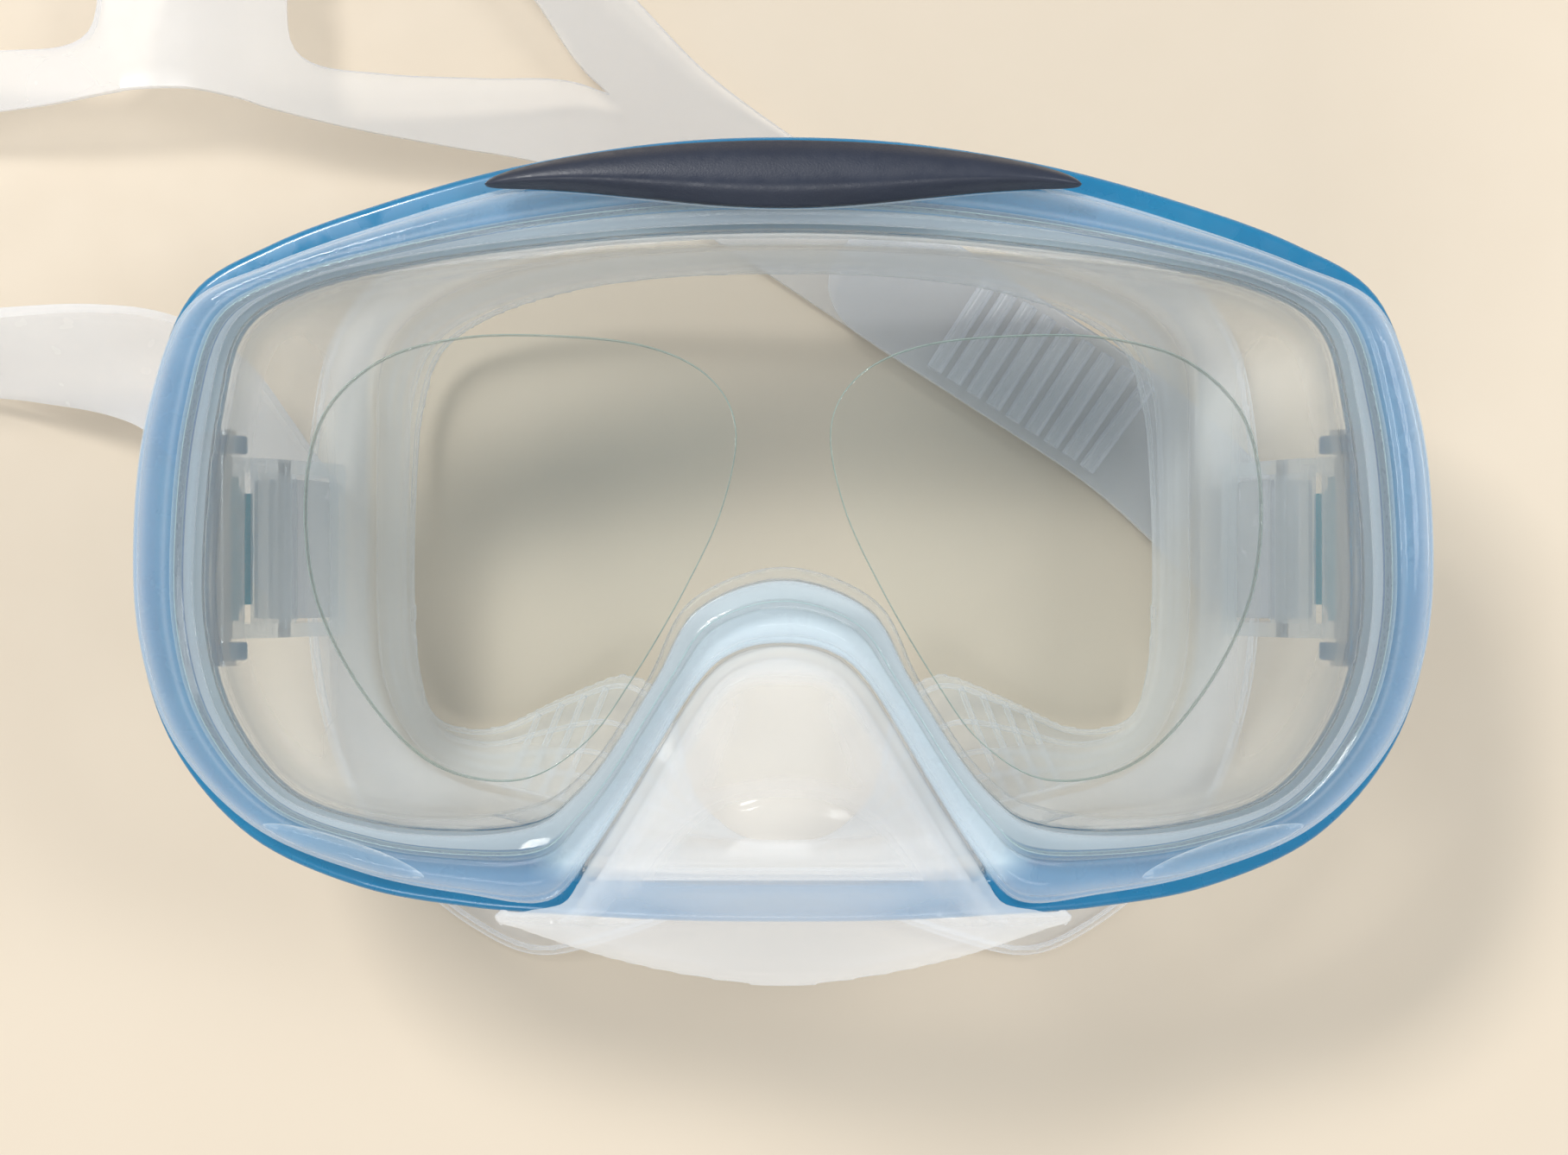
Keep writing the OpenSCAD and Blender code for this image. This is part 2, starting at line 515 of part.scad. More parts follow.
module swing_pin(side) color(steel) hung(side) {
    cross_bar([0, 0], swing_pin_r, lug_out_y + pin_head_t / 2);
    for (end = [-1, 1]) translate([0, end * (lug_out_y + pin_head_t / 2), 0]) rotate([90, 0, 0])
        cylinder(h = pin_head_t, r = pin_head_r, center = true);
}
module swing_pin_left() swing_pin(-1);
module swing_pin_right() swing_pin(1);

module release_lever(side) color(blue) hung(side) difference() {
    knuckle_half = plate_in_y - 0.3;
    arm_half = 8;
    tab = concat([[-lever_tab_half, 8.2], [lever_tab_half, 8.2]],
        [for (a = [0 : 15 : 180]) [lever_tab_half * cos(a), 10.5 + 8.5 * sin(a)]]);
    union() {
        cross_bar([lever_out, lever_drop], lever_knuckle_r, knuckle_half);
        translate([lever_tab_out, 0, 0]) rotate([0, 90, 0])
            linear_extrude(lever_tab_t) polygon([for (q = tab) [q[1], q[0]]]);
        upright([[lever_out, 8.3], [lever_tab_out + 0.4, 8.3], [lever_tab_out + 0.4, 12.5],
            [lever_out, 10.6]], -arm_half, arm_half);
        upright([[3.3, 8.6], [5.8, 10], [3.6, 13.2], [2.7, 12.8]], -arm_half, arm_half);
    }
    cross_bar([lever_out, lever_drop], lever_pin_r + play, 2 * knuckle_half);
}
module release_lever_left() release_lever(-1);
module release_lever_right() release_lever(1);

module lever_pin(side) color(steel) hung(side)
    cross_bar([lever_out, lever_drop], lever_pin_r, plate_out_y);
module lever_pin_left() lever_pin(-1);
module lever_pin_right() lever_pin(1);

module strap_roller(side) color(clear) hung(side) difference() {
    cross_bar([0, roller_drop], roller_r, strap_w / 2 + 0.2);
    cross_bar([0, roller_drop], axle_r + play, strap_w);
}
module strap_roller_left() strap_roller(-1);
module strap_roller_right() strap_roller(1);

module roller_axle(side) color(steel) hung(side)
    cross_bar([0, roller_drop], axle_r, plate_out_y);
module roller_axle_left() roller_axle(-1);
module roller_axle_right() roller_axle(1);

// ---- Strap ----

// Strap's loop round the roller, a bent strip drawn as [outward, down]
module strap_loop(side) color(silicone) hung(side) {
    turn = [for (a = [0 : 18 : 180]) [loop_r * cos(a), roller_drop - loop_r * sin(a)]];
    leg = open_curve(concat(loop_leg, [turn[0]]), ring_steps);
    n = len(leg);
    back = [for (i = [n - 2 : -1 : 0]) [-leg[i][0], leg[i][1]]];
    path = concat(first(leg, n - 1), turn, back);
    last = len(path) - 1;
    normals = [for (i = [0 : last])
        let (v = unit(path[min(i + 1, last)] - path[max(i - 1, 0)])) [-v[1], v[0]]];
    strip = concat([for (i = [0 : last]) path[i] + normals[i] * strap_t / 2],
        [for (i = [last : -1 : 0]) path[i] - normals[i] * strap_t / 2]);
    upright(strip, -strap_w / 2, strap_w / 2);
}
module strap_loop_left() strap_loop(-1);
module strap_loop_right() strap_loop(1);

// Half width at a station, where 1 is the strap's and 2.5 is the pad's
function half_width(w) = w <= 1 ? w * strap_w / 2
    : blend(strap_w / 2, pad_half_w, (w - 1) / 1.5);

// Flat strap along a route, as one solid. Each station has an upper and a lower row of four
// points: the two edges and the two sides of the opening, which is a thin strip where closed.
module strap(stations) {
    closed = 0.04;
    fine = open_curve(stations, strap_steps);
    last = len(fine) - 1;
    function at(i) = [fine[i][0] + sign(fine[i][0]) * side_shift, fine[i][1], deep(fine[i][2])];
    function hole(i) = max(fine[i][7], closed);
    function open(i) = i >= 0 && i < last && max(hole(i), hole(i + 1)) > closed;
    points = [for (i = [0 : last]) let (
        along = at(min(i + 1, last)) - at(max(i - 1, 0)),
        across = unit([fine[i][3], fine[i][4], fine[i][5]]),
        up = unit(cross(along, across)),
        side = unit(cross(up, along)) * half_width(fine[i][6]))
        for (k = [-1, 1]) for (f = [-1, -hole(i), hole(i), 1])
            at(i) + side * f + up * k * strap_t / 2];
    function quad(a, b, c, d) = [[a, b, c], [a, c, d]];
    function strip(i, j, k) = quad(8 * i + j, 8 * i + k, 8 * i + 8 + k, 8 * i + 8 + j);
    skins = [for (i = [0 : last - 1]) for (s = open(i) ? [0, 2] : [0, 1, 2])
        each concat(strip(i, s + 1, s), strip(i, s + 4, s + 5))];
    sides = [for (i = [0 : last - 1]) each concat(strip(i, 0, 4), strip(i, 7, 3),
        open(i) ? concat(strip(i, 5, 1), strip(i, 2, 6)) : [])];
    crotches = [for (i = [1 : last - 1]) each
        open(i) && !open(i - 1) ? quad(8 * i + 1, 8 * i + 5, 8 * i + 6, 8 * i + 2)
        : open(i - 1) && !open(i) ? quad(8 * i + 1, 8 * i + 2, 8 * i + 6, 8 * i + 5) : []];
    ends = [for (s = [0 : 2]) each concat(quad(s, s + 1, s + 5, s + 4),
        quad(8 * last + s, 8 * last + s + 4, 8 * last + s + 5, 8 * last + s + 1))];
    polyhedron(points, concat(skins, sides, crotches, ends));
}

module strap_rear() color(silicone) strap(rear_stations);
module strap_tail_right() color(silicone) strap(tail_stations);

frame();
bezel();
brow_trim();
lens();
corrective_lens_left();
corrective_lens_right();
skirt();
swing_pin_left();
swing_pin_right();
buckle_body_left();
buckle_body_right();
release_lever_left();
release_lever_right();
lever_pin_left();
lever_pin_right();
strap_roller_left();
strap_roller_right();
roller_axle_left();
roller_axle_right();
strap_rear();
strap_tail_right();
strap_loop_left();
strap_loop_right();
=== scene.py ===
"""Visual model of a snorkel mask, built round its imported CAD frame. Sizes are in millimetres."""

import math

import bmesh
import bpy
import numpy as np
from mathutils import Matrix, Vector
from mathutils.geometry import tessellate_polygon


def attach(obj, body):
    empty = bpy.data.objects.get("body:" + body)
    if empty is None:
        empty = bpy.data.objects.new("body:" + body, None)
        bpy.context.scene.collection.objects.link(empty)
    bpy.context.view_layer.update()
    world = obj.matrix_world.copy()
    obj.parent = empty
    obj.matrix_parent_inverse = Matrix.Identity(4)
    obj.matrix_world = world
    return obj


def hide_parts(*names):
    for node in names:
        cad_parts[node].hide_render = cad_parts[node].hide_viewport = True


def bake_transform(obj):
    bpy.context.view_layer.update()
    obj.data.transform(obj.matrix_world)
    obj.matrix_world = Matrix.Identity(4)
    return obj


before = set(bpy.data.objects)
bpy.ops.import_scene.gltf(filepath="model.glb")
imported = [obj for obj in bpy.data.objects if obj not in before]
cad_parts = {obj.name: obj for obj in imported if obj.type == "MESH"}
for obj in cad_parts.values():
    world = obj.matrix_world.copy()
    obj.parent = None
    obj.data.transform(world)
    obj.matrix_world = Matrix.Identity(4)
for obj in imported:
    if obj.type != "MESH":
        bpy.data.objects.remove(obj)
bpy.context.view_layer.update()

MM = 0.001

# ---- Sizes shared with the CAD part, in millimetres ----

LENS_BACK_Z = -4.0
CORRECTIVE_T = 2.2
GASKET_BACK_Z = -5.9
SEAT_Z = -6.0
FLANGE_Z = -8.0
FRAME_TOP_Z = -3.2
FRAME_BOTTOM_Z = -16.0
ROOF_TOP_Z = -8.2
ROOF_Z = -9.8
SKIRT_T = 1.6
INNER_LIP_T = 1.2
POCKET_T = 1.7
STRAP_HALF_W = 10.0
PAD_HALF_W = 25.0
STRAP_T = 2.0
PIN_X, PIN_Z, BUCKLE_Y = 78.5, -19.5, -2.0
FOLD = math.radians(20)
TABLE_Z = -64.0

# Half outlines, from the brow round the right side to the nose
OPENING_HALF = [
    (0, 39), (17, 38.5), (33.3, 37.2), (48, 35.5), (62, 32.6), (71.2, 27), (74.2, 16),
    (75.8, 2), (76, -12), (73, -24), (65.5, -34), (54, -38), (42, -38.8), (33, -37.3),
    (28.6, -34.6), (24, -29.6), (17.6, -19.5), (12, -9.6), (0, -5.3)]
BEZEL_HALF = [
    (0, 49.5), (17.5, 48.6), (36, 45.5), (53, 40.6), (68, 35.2), (78.6, 29.8), (83.8, 17),
    (85.8, 2), (85.2, -14), (80.4, -28), (69.9, -39.1), (55.5, -45.2), (42, -48), (31, -48.9),
    (25.2, -42.3), (20, -34.2), (11.6, -20.5), (6.4, -16), (0, -14.8)]
FRAME_HALF = [
    (0, 52.6), (17.5, 51.7), (36, 48.6), (53, 43.9), (68, 38.4), (79, 31.4), (84.4, 17), (86.5, 2),
    (85.9, -14), (81.2, -28.7), (71, -40.6), (56.5, -47.3), (42, -50), (30, -51), (15, -51.8),
    (0, -52)]
HOLLOW_RAIL_STATIONS = 12
BAR_INNER_HALF = [(28.5, -45.6), (14, -46.8), (0, -47)]
NOSE_GAP_HALF = [
    (0, -14.8), (6.4, -16), (11.6, -20.5), (20, -34.2), (25.2, -42.3), (27, -45.4),
    (26, -46.9), (14, -47), (0, -47)]
NOSE_OUTER_HALF = [
    (0, -15.2), (6.2, -16.4), (11.2, -20.8), (19.6, -34.4), (24.8, -42.5), (26.3, -45.2),
    (25.4, -46.4), (14, -46.5), (0, -46.5)]
NOSE_INNER_HALF = [
    (0, -17), (5.3, -18), (9.8, -21.7), (18.1, -35.4), (22.6, -42.6), (23.6, -44.2),
    (22.8, -44.7), (13, -44.8), (0, -44.8)]
UNDER_NOSE_HALF = [(33, -41.3), (26, -44.6), (12, -45.4), (0, -45.6)]
SKIRT_RAIL_STATIONS = 13
ROOF_UNDER_HALF = [(39, -40), (33, -42), (25.5, -45.4), (12, -46.2), (0, -46.4)]
WAIST_HALF = [
    (0, 41.5), (17, 41.3), (33, 40), (46, 37), (55, 32.5), (59.5, 25.5), (60, 15), (60, 2),
    (60, -11), (59, -22), (54.5, -31), (47, -35.5), (39, -37.5), (31, -39.5), (22, -42.5),
    (11, -44.5), (0, -45)]
OUTER_SEAL_HALF = [
    (0, 54, -47), (18, 53.5, -48.5), (35, 51.5, -51.5), (50, 47, -55), (62, 40, -57.5),
    (69.5, 30, -58.5), (72.5, 16, -58.5), (73, 2, -58.5), (73, -12, -58.8), (71.5, -26, -60.5),
    (67, -40, -62.5), (58.5, -52, -63.1), (48, -60.5, -63.1), (38, -64.5, -62.8),
    (26, -61.5, -60), (12.5, -56.5, -57), (0, -54.5, -55.5)]
INNER_SEAL_HALF = [
    (0, 39.5, -46), (16, 39.2, -47.5), (31, 37.6, -50.5), (44, 34, -54), (52.5, 28.5, -57),
    (55.5, 20, -58), (56.5, 11, -58.2), (57, 0, -58.2), (57, -11, -58.5), (56.5, -20.5, -60),
    (54, -28, -61.5), (45, -29.5, -62), (34, -24.5, -61.5), (23.5, -21, -58), (16.5, -27, -54),
    (13, -40, -51), (0, -49, -50)]
WAIST_LEVEL = 0.63
# The wall from its top to the waist, and on to the outer seal: how far across, how far down
UPPER_WALL = [(0, 0), (0.1, 0.18), (0.45, 0.38), (0.8, 0.62), (0.98, 0.86)]
LOWER_WALL = [(0.06, 0.2), (0.3, 0.58), (0.66, 0.88), (1, 1)]
INNER_LIP = [(0, 0), (0.15, 0.45), (0.5, 0.85), (1, 1)]
# Nose pocket: position, half width, level of the edge, level of the middle
POCKET_ROWS = [
    (-15.1, 0.8, -3, -1), (-15.9, 4.5, -3, 2), (-17.5, 8, -3, 5.5), (-20.3, 11, -3, 9),
    (-24.5, 13.8, -3, 12.4), (-29, 16.5, -3, 15.6), (-33, 18.8, -3, 18.2),
    (-37, 21.2, -3, 18.6), (-41, 23.7, -3, 17.4), (-44.5, 26, -2.9, 15.2),
    (-47.3, 27.8, -2.2, 12.8), (-48.9, 29.2, -0.6, 11.2), (-49.7, 33.5, 0.3, 10.4),
    (-50.4, 38.3, 0.5, 9.7), (-51.6, 36.5, 0.5, 8.5), (-53.6, 31, 0.5, 6.7),
    (-56, 23.5, 0.6, 4.7), (-58.2, 14, 0.7, 3), (-59.5, 5.5, 0.8, 1.9), (-59.8, 0.8, 0.9, 1.3)]
CORRECTIVE_POINTS = [
    (32.6, 26.3), (19, 25), (10.2, 21), (6.3, 14), (8, 3.5), (13, -7.5), (20, -19.5),
    (26.4, -28.2), (35.2, -33.2), (46.3, -31.3), (55.3, -22.7), (62.2, -9.7), (63.9, 4),
    (61.6, 15.3), (54.2, 22.7), (44, 25.8)]
TRIM_HALF = 39.0
TRIM_END_Y, TRIM_LOW_Y, TRIM_RISE = 45.3, 42.3, 5.7
# The trim's seat is higher here than in the CAD part, level with the bezel's crest
TRIM_FLOOR_Z, TRIM_SIDE_Z, TRIM_RIDGE_Z = 1.5, 2.3, 4.8

# ---- Sizes of the visual model only ----

# Hairline gap that keeps touching faces apart
HAIRLINE = 0.08

# Bezel: crest, as (share of the rail, level), the gap round the trim, and the corner scoops
BEZEL_CREST = [
    (0.13, 1.0), (0.16, 1.75), (0.22, 2.3), (0.3, 2.7), (0.38, 3.0), (0.45, 3.08), (0.52, 2.8),
    (0.6, 2.75), (0.7, 2.6), (0.78, 2.2), (0.86, 1.35), (0.9, 0.6), (0.945, 0.15), (0.985, -0.9),
    (1.0, -2.2)]
BEZEL_UNDERSIDE = [(0.47, 0.1), (0.47, -3.2), (0.96, -3.2), (1.0, -2.9)]
BEZEL_LIP = [(0.128, 0.5), (0.135, 0.1)]
TRIM_GAP = 0.25
SCOOP_SIZE = np.array((11.5, 2.0, 1.5))
SCOOP_PLACE, SCOOP_TURN = (57.5, -42.2, 2.6), math.radians(18)

# Frame: rounding of its rim, and the ears that hold the hinge pins
RIM_ROUND_LOW, RIM_ROUND_TOP = 0.9, 1.1
EAR_R, EAR_T, EAR_ROUND = 3.8, 2.5, 0.35
EAR_ABOVE, EAR_BELOW = 13.1, 15.6
EAR_WEB = [(82.5, -18.5), (84, -15.5), (84, -9), (80.6, -9), (77.6, -13), (75.2, -17.7), (78.5, -21)]

# Trim: how blunt its ends are, and where its ridge runs between the low and the high edge
TRIM_BLUNT, TRIM_RIDGE_SHARE, TRIM_SEAT_LIFT = 1.2, 0.42, 0.3

# Glass edges, and the notch that bounds the clear part of the frame
PANE_ROUND = 0.25
NOTCH_HALF_X, NOTCH_Y = 29.0, -44.0

# Nose pocket: round tip that stands proud of the flat above it, and the top of the lip under it
TIP_R, TIP_Y, TIP_RISE = 23.3, -54.0, 1.7
LIP_TOP_Y = -49.0
# Rounded shoulder just inside the pocket's edge
BEAD_RISE, BEAD_IN, BEAD_WIDTH = 1.3, 2.6, 1.2

# Skirt: skin size, and the beads and ribs laid on its seals
SKIRT_VOXEL, SKIRT_SMOOTHING = 0.7, 4
SEAL_BEADS, SEAL_BEAD_R, HEM_R = (5, 7, 9, 11), 0.42, 0.75
RIB_X, CHEEK_RIB_R = (27, 30.5, 34, 37.5), 0.5

# Strap route: x, y, z, width direction, half width (1 is the strap's, 2.5 the pad's), opening
REAR_STATIONS = [
    (69.3, -2, -48.1, 0, 1, 0, 1, 0), (70.4, -2, -50.6, 0, 1, 0, 1, 0),
    (73.2, -2, -53.2, 0, 1, 0, 1, 0), (76.9, -2, -55.9, 0, 1, 0, 1, 0),
    (79.2, -2, -59.2, 0, 1, 0, 1, 0), (78.6, -2, -61.8, 0, 1, 0, 1, 0),
    (75.6, -1.9, -62.85, 0.06, 1, 0, 1, 0), (70.6, 0.8, -62.94, 0.38, 0.92, 0, 1, 0),
    (64, 7.6, -62.94, 0.6, 0.8, 0, 1, 0), (52, 17.8, -62.94, 0.56, 0.83, 0, 1, 0),
    (33, 30.3, -62.94, 0.543, 0.84, 0, 1, 0), (14, 42.6, -62.94, 0.543, 0.84, 0, 1, 0),
    (-4, 54.3, -62.2, 0.543, 0.84, 0, 1, 0),
    (-18, 63.2, -60.3, 0.53, 0.85, 0, 1.1, 0), (-30, 70.5, -58, 0.5, 0.87, 0, 1.45, 0.05),
    (-42, 77, -55.8, 0.44, 0.9, 0, 1.9, 0.38), (-56, 83.5, -53.4, 0.35, 0.94, 0, 2.3, 0.6),
    (-69, 88.6, -51.5, 0.24, 0.97, 0, 2.5, 0.62), (-77, 91, -50.6, 0.16, 0.99, 0, 2.5, 0),
    (-88, 93, -50, 0.05, 1, 0, 2.5, 0), (-100, 93, -50.2, -0.08, 1, 0, 2.5, 0),
    (-109, 91.6, -50.7, -0.22, 0.97, 0, 2.5, 0.62), (-123, 87, -52, -0.4, 0.91, 0.05, 2.3, 0.6),
    (-135.5, 80.5, -53, -0.56, 0.81, 0.12, 1.9, 0.38),
    (-145, 72.5, -53.5, -0.68, 0.67, 0.3, 1.45, 0.05),
    (-151.5, 63, -53.6, -0.64, 0.42, 0.64, 1.1, 0), (-154.5, 52, -53.6, -0.3, 0.1, 0.95, 1, 0),
    (-152, 40.5, -53.5, 0, 0.05, 1, 1, 0), (-143, 31.5, -53, 0, 0.22, 0.97, 1, 0),
    (-130, 28, -51.6, 0, 0.42, 0.91, 1, 0), (-116, 27.4, -49.6, 0.02, 0.56, 0.83, 1, 0),
    (-103, 26.6, -48, 0.1, 0.7, 0.7, 1, 0), (-93.5, 24.4, -47.6, 0.32, 0.78, 0.54, 1, 0),
    (-87, 19.6, -48.2, 0.62, 0.66, 0.42, 1, 0), (-82.3, 13, -49.6, 0.78, 0.5, 0.38, 1, 0),
    (-78.4, 6.4, -51.3, 0.72, 0.62, 0.3, 1, 0), (-74.8, 1.2, -52.5, 0.4, 0.9, 0.14, 1, 0),
    (-71.2, -1.5, -51.2, 0.08, 1, 0, 1, 0), (-69.3, -2, -48.1, 0, 1, 0, 1, 0)]
TAIL_STATIONS = [
    (66.8, -2, -47.3, 0, 1, 0, 1, 0), (68.4, -2, -51.6, 0, 1, 0, 1, 0),
    (71.6, -2, -54.9, 0, 1, 0, 1, 0), (75.2, -2, -57.4, 0, 1, 0, 1, 0),
    (76.3, -2, -59.1, 0, 1, 0, 1, 0), (75.4, -2, -60.3, 0, 1, 0, 1, 0),
    (73.4, -1.6, -60.45, 0.12, 1, 0, 1, 0), (69.6, 1.2, -60.5, 0.4, 0.92, 0, 1, 0),
    (63.6, 7.4, -60.6, 0.6, 0.8, 0, 1, 0), (52, 17.4, -60.6, 0.56, 0.83, 0, 1, 0),
    (33, 29.9, -60.6, 0.543, 0.84, 0, 1, 0), (19, 38.9, -60.6, 0.543, 0.84, 0, 1, 0),
    (14, 42.2, -60.6, 0.543, 0.84, 0, 0.94, 0), (10.6, 44.4, -60.6, 0.543, 0.84, 0, 0.66, 0),
    (9.4, 45.2, -60.6, 0.543, 0.84, 0, 0.3, 0)]

# The strap's loop round its roller, and the stations where the visible strap is parted
ROLLER_DROP, LOOP_R = 17.0, 3.3
REAR_SEAM, TAIL_SEAM, LEFT_SEAM = 5, 5, 7
# Rows per stretch between the strap's stations, and the rounding of its edges
STRAP_STEPS, STRAP_ROUND = 8, 0.55
# Ribs on the tail: how many, their pitch, radius, height above the strap and reach across it
STRAP_RIBS, RIB_PITCH, RIB_R, RIB_RISE, RIB_REACH = 9, 3.6, 1.3, 0.5, 0.82
RIB_STATION = 9
SOFT_EDGE = 0.22

# ---- Stage sizes: millimetres for the floor, metres for lights and camera ----

FLOOR_HALF, FLOOR_T, FLOOR_GAP = 1500.0, 12, 0.35
WORLD_COLOUR, WORLD_STRENGTH = (0.93, 0.97, 1.0, 1), 0.6
LIGHT_TARGET = (0, 0, -0.05)
# Name, place, size, power, colour
LIGHTS = [
    ("key", (-0.45, 0.55, 0.95), (0.32, 0.2), 10, (1, 0.99, 0.97)),
    ("fill", (0.75, 0.15, 0.9), (0.3, 0.4), 5, (0.95, 0.98, 1)),
    ("front", (-0.15, -0.85, 0.8), (0.6, 0.3), 4, (1, 1, 1))]
CAMERA_PLACE, CAMERA_LENS, CAMERA_SENSOR = (0.0001, -0.0061, 0.330), 57.6, 36

# ---- Curves and grids ----

def curve_point(a, b, c, d, t):
    return 0.5 * (2 * b + (c - a) * t + (2 * a - 5 * b + 4 * c - d) * t * t
                  + (3 * b - a - 3 * c + d) * t ** 3)


def closed_curve(points, steps):
    p = np.asarray(points, float)
    n = len(p)
    return np.array([curve_point(p[i - 1], p[i], p[(i + 1) % n], p[(i + 2) % n], s / steps)
                     for i in range(n) for s in range(steps)])


def open_curve(points, steps):
    p = np.asarray(points, float)
    n = len(p)
    rows = [curve_point(p[max(i - 1, 0)], p[i], p[i + 1], p[min(i + 2, n - 1)], s / steps)
            for i in range(n - 1) for s in range(steps)]
    return np.array(rows + [p[-1]])


def whole(half):
    """A half outline closed by its mirror image."""
    half = np.asarray(half, float)
    flip = np.ones(half.shape[-1])
    flip[0] = -1
    return np.concatenate([half, half[-2:0:-1] * flip])


def rail_half(f):
    return np.asarray(OPENING_HALF, float) * (1 - f) + np.asarray(BEZEL_HALF, float) * f


def rail(f, steps=8):
    return closed_curve(whole(rail_half(f)), steps)


def outline(half, steps=8):
    return closed_curve(whole(half), steps)


def smooth_step(t):
    t = np.clip(t, 0, 1)
    return t * t * (3 - 2 * t)


# ---- Meshes ----

def mesh_object(name, verts, faces, smooth=True):
    """Object from vertices in millimetres."""
    mesh = bpy.data.meshes.new(name)
    mesh.from_pydata([tuple(v) for v in np.asarray(verts, float) * MM], [], faces)
    mesh.update()
    mesh.shade_smooth() if smooth else mesh.shade_flat()
    obj = bpy.data.objects.new(name, mesh)
    bpy.context.scene.collection.objects.link(obj)
    return obj


def loft(rows, ring):
    """Vertices and faces of a solid through closed sections."""
    rows = np.asarray(rows, float)
    n, m = rows.shape[:2]
    faces = []
    for i in range(n if ring else n - 1):
        a, b = i * m, (i + 1) % n * m
        faces += [(a + j, b + j, b + (j + 1) % m, a + (j + 1) % m) for j in range(m)]
    if not ring:
        faces += [tuple(range(m)), tuple((n - 1) * m + j for j in range(m - 1, -1, -1))]
    return rows.reshape(-1, 3), faces


def joined(parts):
    verts, faces, base = [], [], 0
    for v, f in parts:
        verts.append(np.asarray(v, float))
        faces += [tuple(base + k for k in face) for face in f]
        base += len(v)
    return np.concatenate(verts), faces


def grid_normals(g, ring):
    if ring:
        along = np.roll(g, -1, 0) - np.roll(g, 1, 0)
    else:
        along = np.gradient(g, axis=0)
    across = np.gradient(g, axis=1)
    n = np.cross(along, across)
    return n / np.maximum(np.linalg.norm(n, axis=2, keepdims=True), 1e-9)


def ring_sheet(g, thickness):
    """Closed sheet centred on a ring-shaped grid. thickness may differ from row to row."""
    half = grid_normals(g, True) * (np.asarray(thickness, float) / 2).reshape(1, -1, 1)
    rows = np.concatenate([g - half, (g + half)[:, ::-1]], axis=1)
    return loft(rows, True)


def grid_solid(upper, lower):
    """Closed solid between two grids of the same size."""
    n, m = upper.shape[:2]
    count = n * m
    faces = []
    for i in range(n - 1):
        for j in range(m - 1):
            a, b, c, d = i * m + j, i * m + j + 1, (i + 1) * m + j + 1, (i + 1) * m + j
            faces += [(a, b, c, d), (count + a, count + d, count + c, count + b)]
    rim = ([j for j in range(m)] + [i * m + m - 1 for i in range(1, n)]
           + [(n - 1) * m + j for j in range(m - 2, -1, -1)] + [i * m for i in range(n - 2, 0, -1)])
    for k, a in enumerate(rim):
        b = rim[(k + 1) % len(rim)]
        faces.append((a, count + a, count + b, b))
    return np.concatenate([upper.reshape(-1, 3), lower.reshape(-1, 3)]), faces


def loop_normals(p):
    """Unit normals of a closed 2D loop, to the left of its direction."""
    d = np.roll(p, -1, 0) - np.roll(p, 1, 0)
    n = np.stack([-d[:, 1], d[:, 0]], 1)
    return n / np.maximum(np.linalg.norm(n, axis=1, keepdims=True), 1e-9)


def area(p):
    q = np.roll(p, -1, 0)
    return 0.5 * np.sum(p[:, 0] * q[:, 1] - q[:, 0] * p[:, 1])


def rounded_profile(z0, z1, r0, r1, segments=4):
    """Pairs of (distance into the material, level) up a rounded wall."""
    turn = [k * math.pi / 2 / segments for k in range(segments + 1)]
    low = [(r0 * (1 - math.sin(t)), z0 + r0 * (1 - math.cos(t))) for t in turn] if r0 else [(0, z0)]
    high = [(r1 * (1 - math.cos(t)), z1 - r1 * (1 - math.sin(t))) for t in turn] if r1 else [(0, z1)]
    return low + high


def slab(loops, z0, z1, r0=0.0, r1=0.0):
    """Closed plate with rounded edges. The first loop is the outside and the rest are holes."""
    profile = rounded_profile(z0, z1, r0, r1)
    verts, faces, base = [], [], 0
    ends = ([], [])
    for k, loop in enumerate(loops):
        p = np.asarray(loop, float)
        if (area(p) > 0) != (k == 0):
            p = p[::-1]
        inward, n = loop_normals(p), len(p)
        for inset, z in profile:
            q = p + inward * inset
            verts.append(np.column_stack([q, np.full(n, z)]))
        rings = len(profile)
        for r in range(rings - 1):
            a, b = base + r * n, base + (r + 1) * n
            faces += [(a + j, a + (j + 1) % n, b + (j + 1) % n, b + j) for j in range(n)]
        ends[0].append((base, verts[-rings]))
        ends[1].append((base + (rings - 1) * n, verts[-1]))
        base += rings * n
    for top, end in enumerate(ends):
        index = [start + j for start, ring in end for j in range(len(ring))]
        for tri in tessellate_polygon([[Vector(v) for v in ring] for _, ring in end]):
            a, b, c = (Vector(np.concatenate([r for _, r in end])[t]) for t in tri)
            up = (b - a).cross(c - a).z > 0
            tri = tri if up == bool(top) else tri[::-1]
            faces.append(tuple(index[t] for t in tri))
    return np.concatenate(verts), faces


def apply_modifiers(obj):
    """Replaces the object's mesh by the one its modifiers make."""
    bpy.context.view_layer.update()
    graph = bpy.context.evaluated_depsgraph_get()
    mesh = bpy.data.meshes.new_from_object(obj.evaluated_get(graph))
    old = obj.data
    obj.modifiers.clear()
    obj.data = mesh
    bpy.data.meshes.remove(old)


def united(name, parts):
    """One object from closed solids that overlap."""
    objs = [mesh_object(f"{name}_{k}", v, f) for k, (v, f) in enumerate(parts)]
    for other in objs[1:]:
        m = objs[0].modifiers.new("join", "BOOLEAN")
        m.operation, m.solver, m.object = "UNION", "MANIFOLD", other
    apply_modifiers(objs[0])
    for other in objs[1:]:
        bpy.data.objects.remove(other)
    objs[0].name = objs[0].data.name = name
    return objs[0]


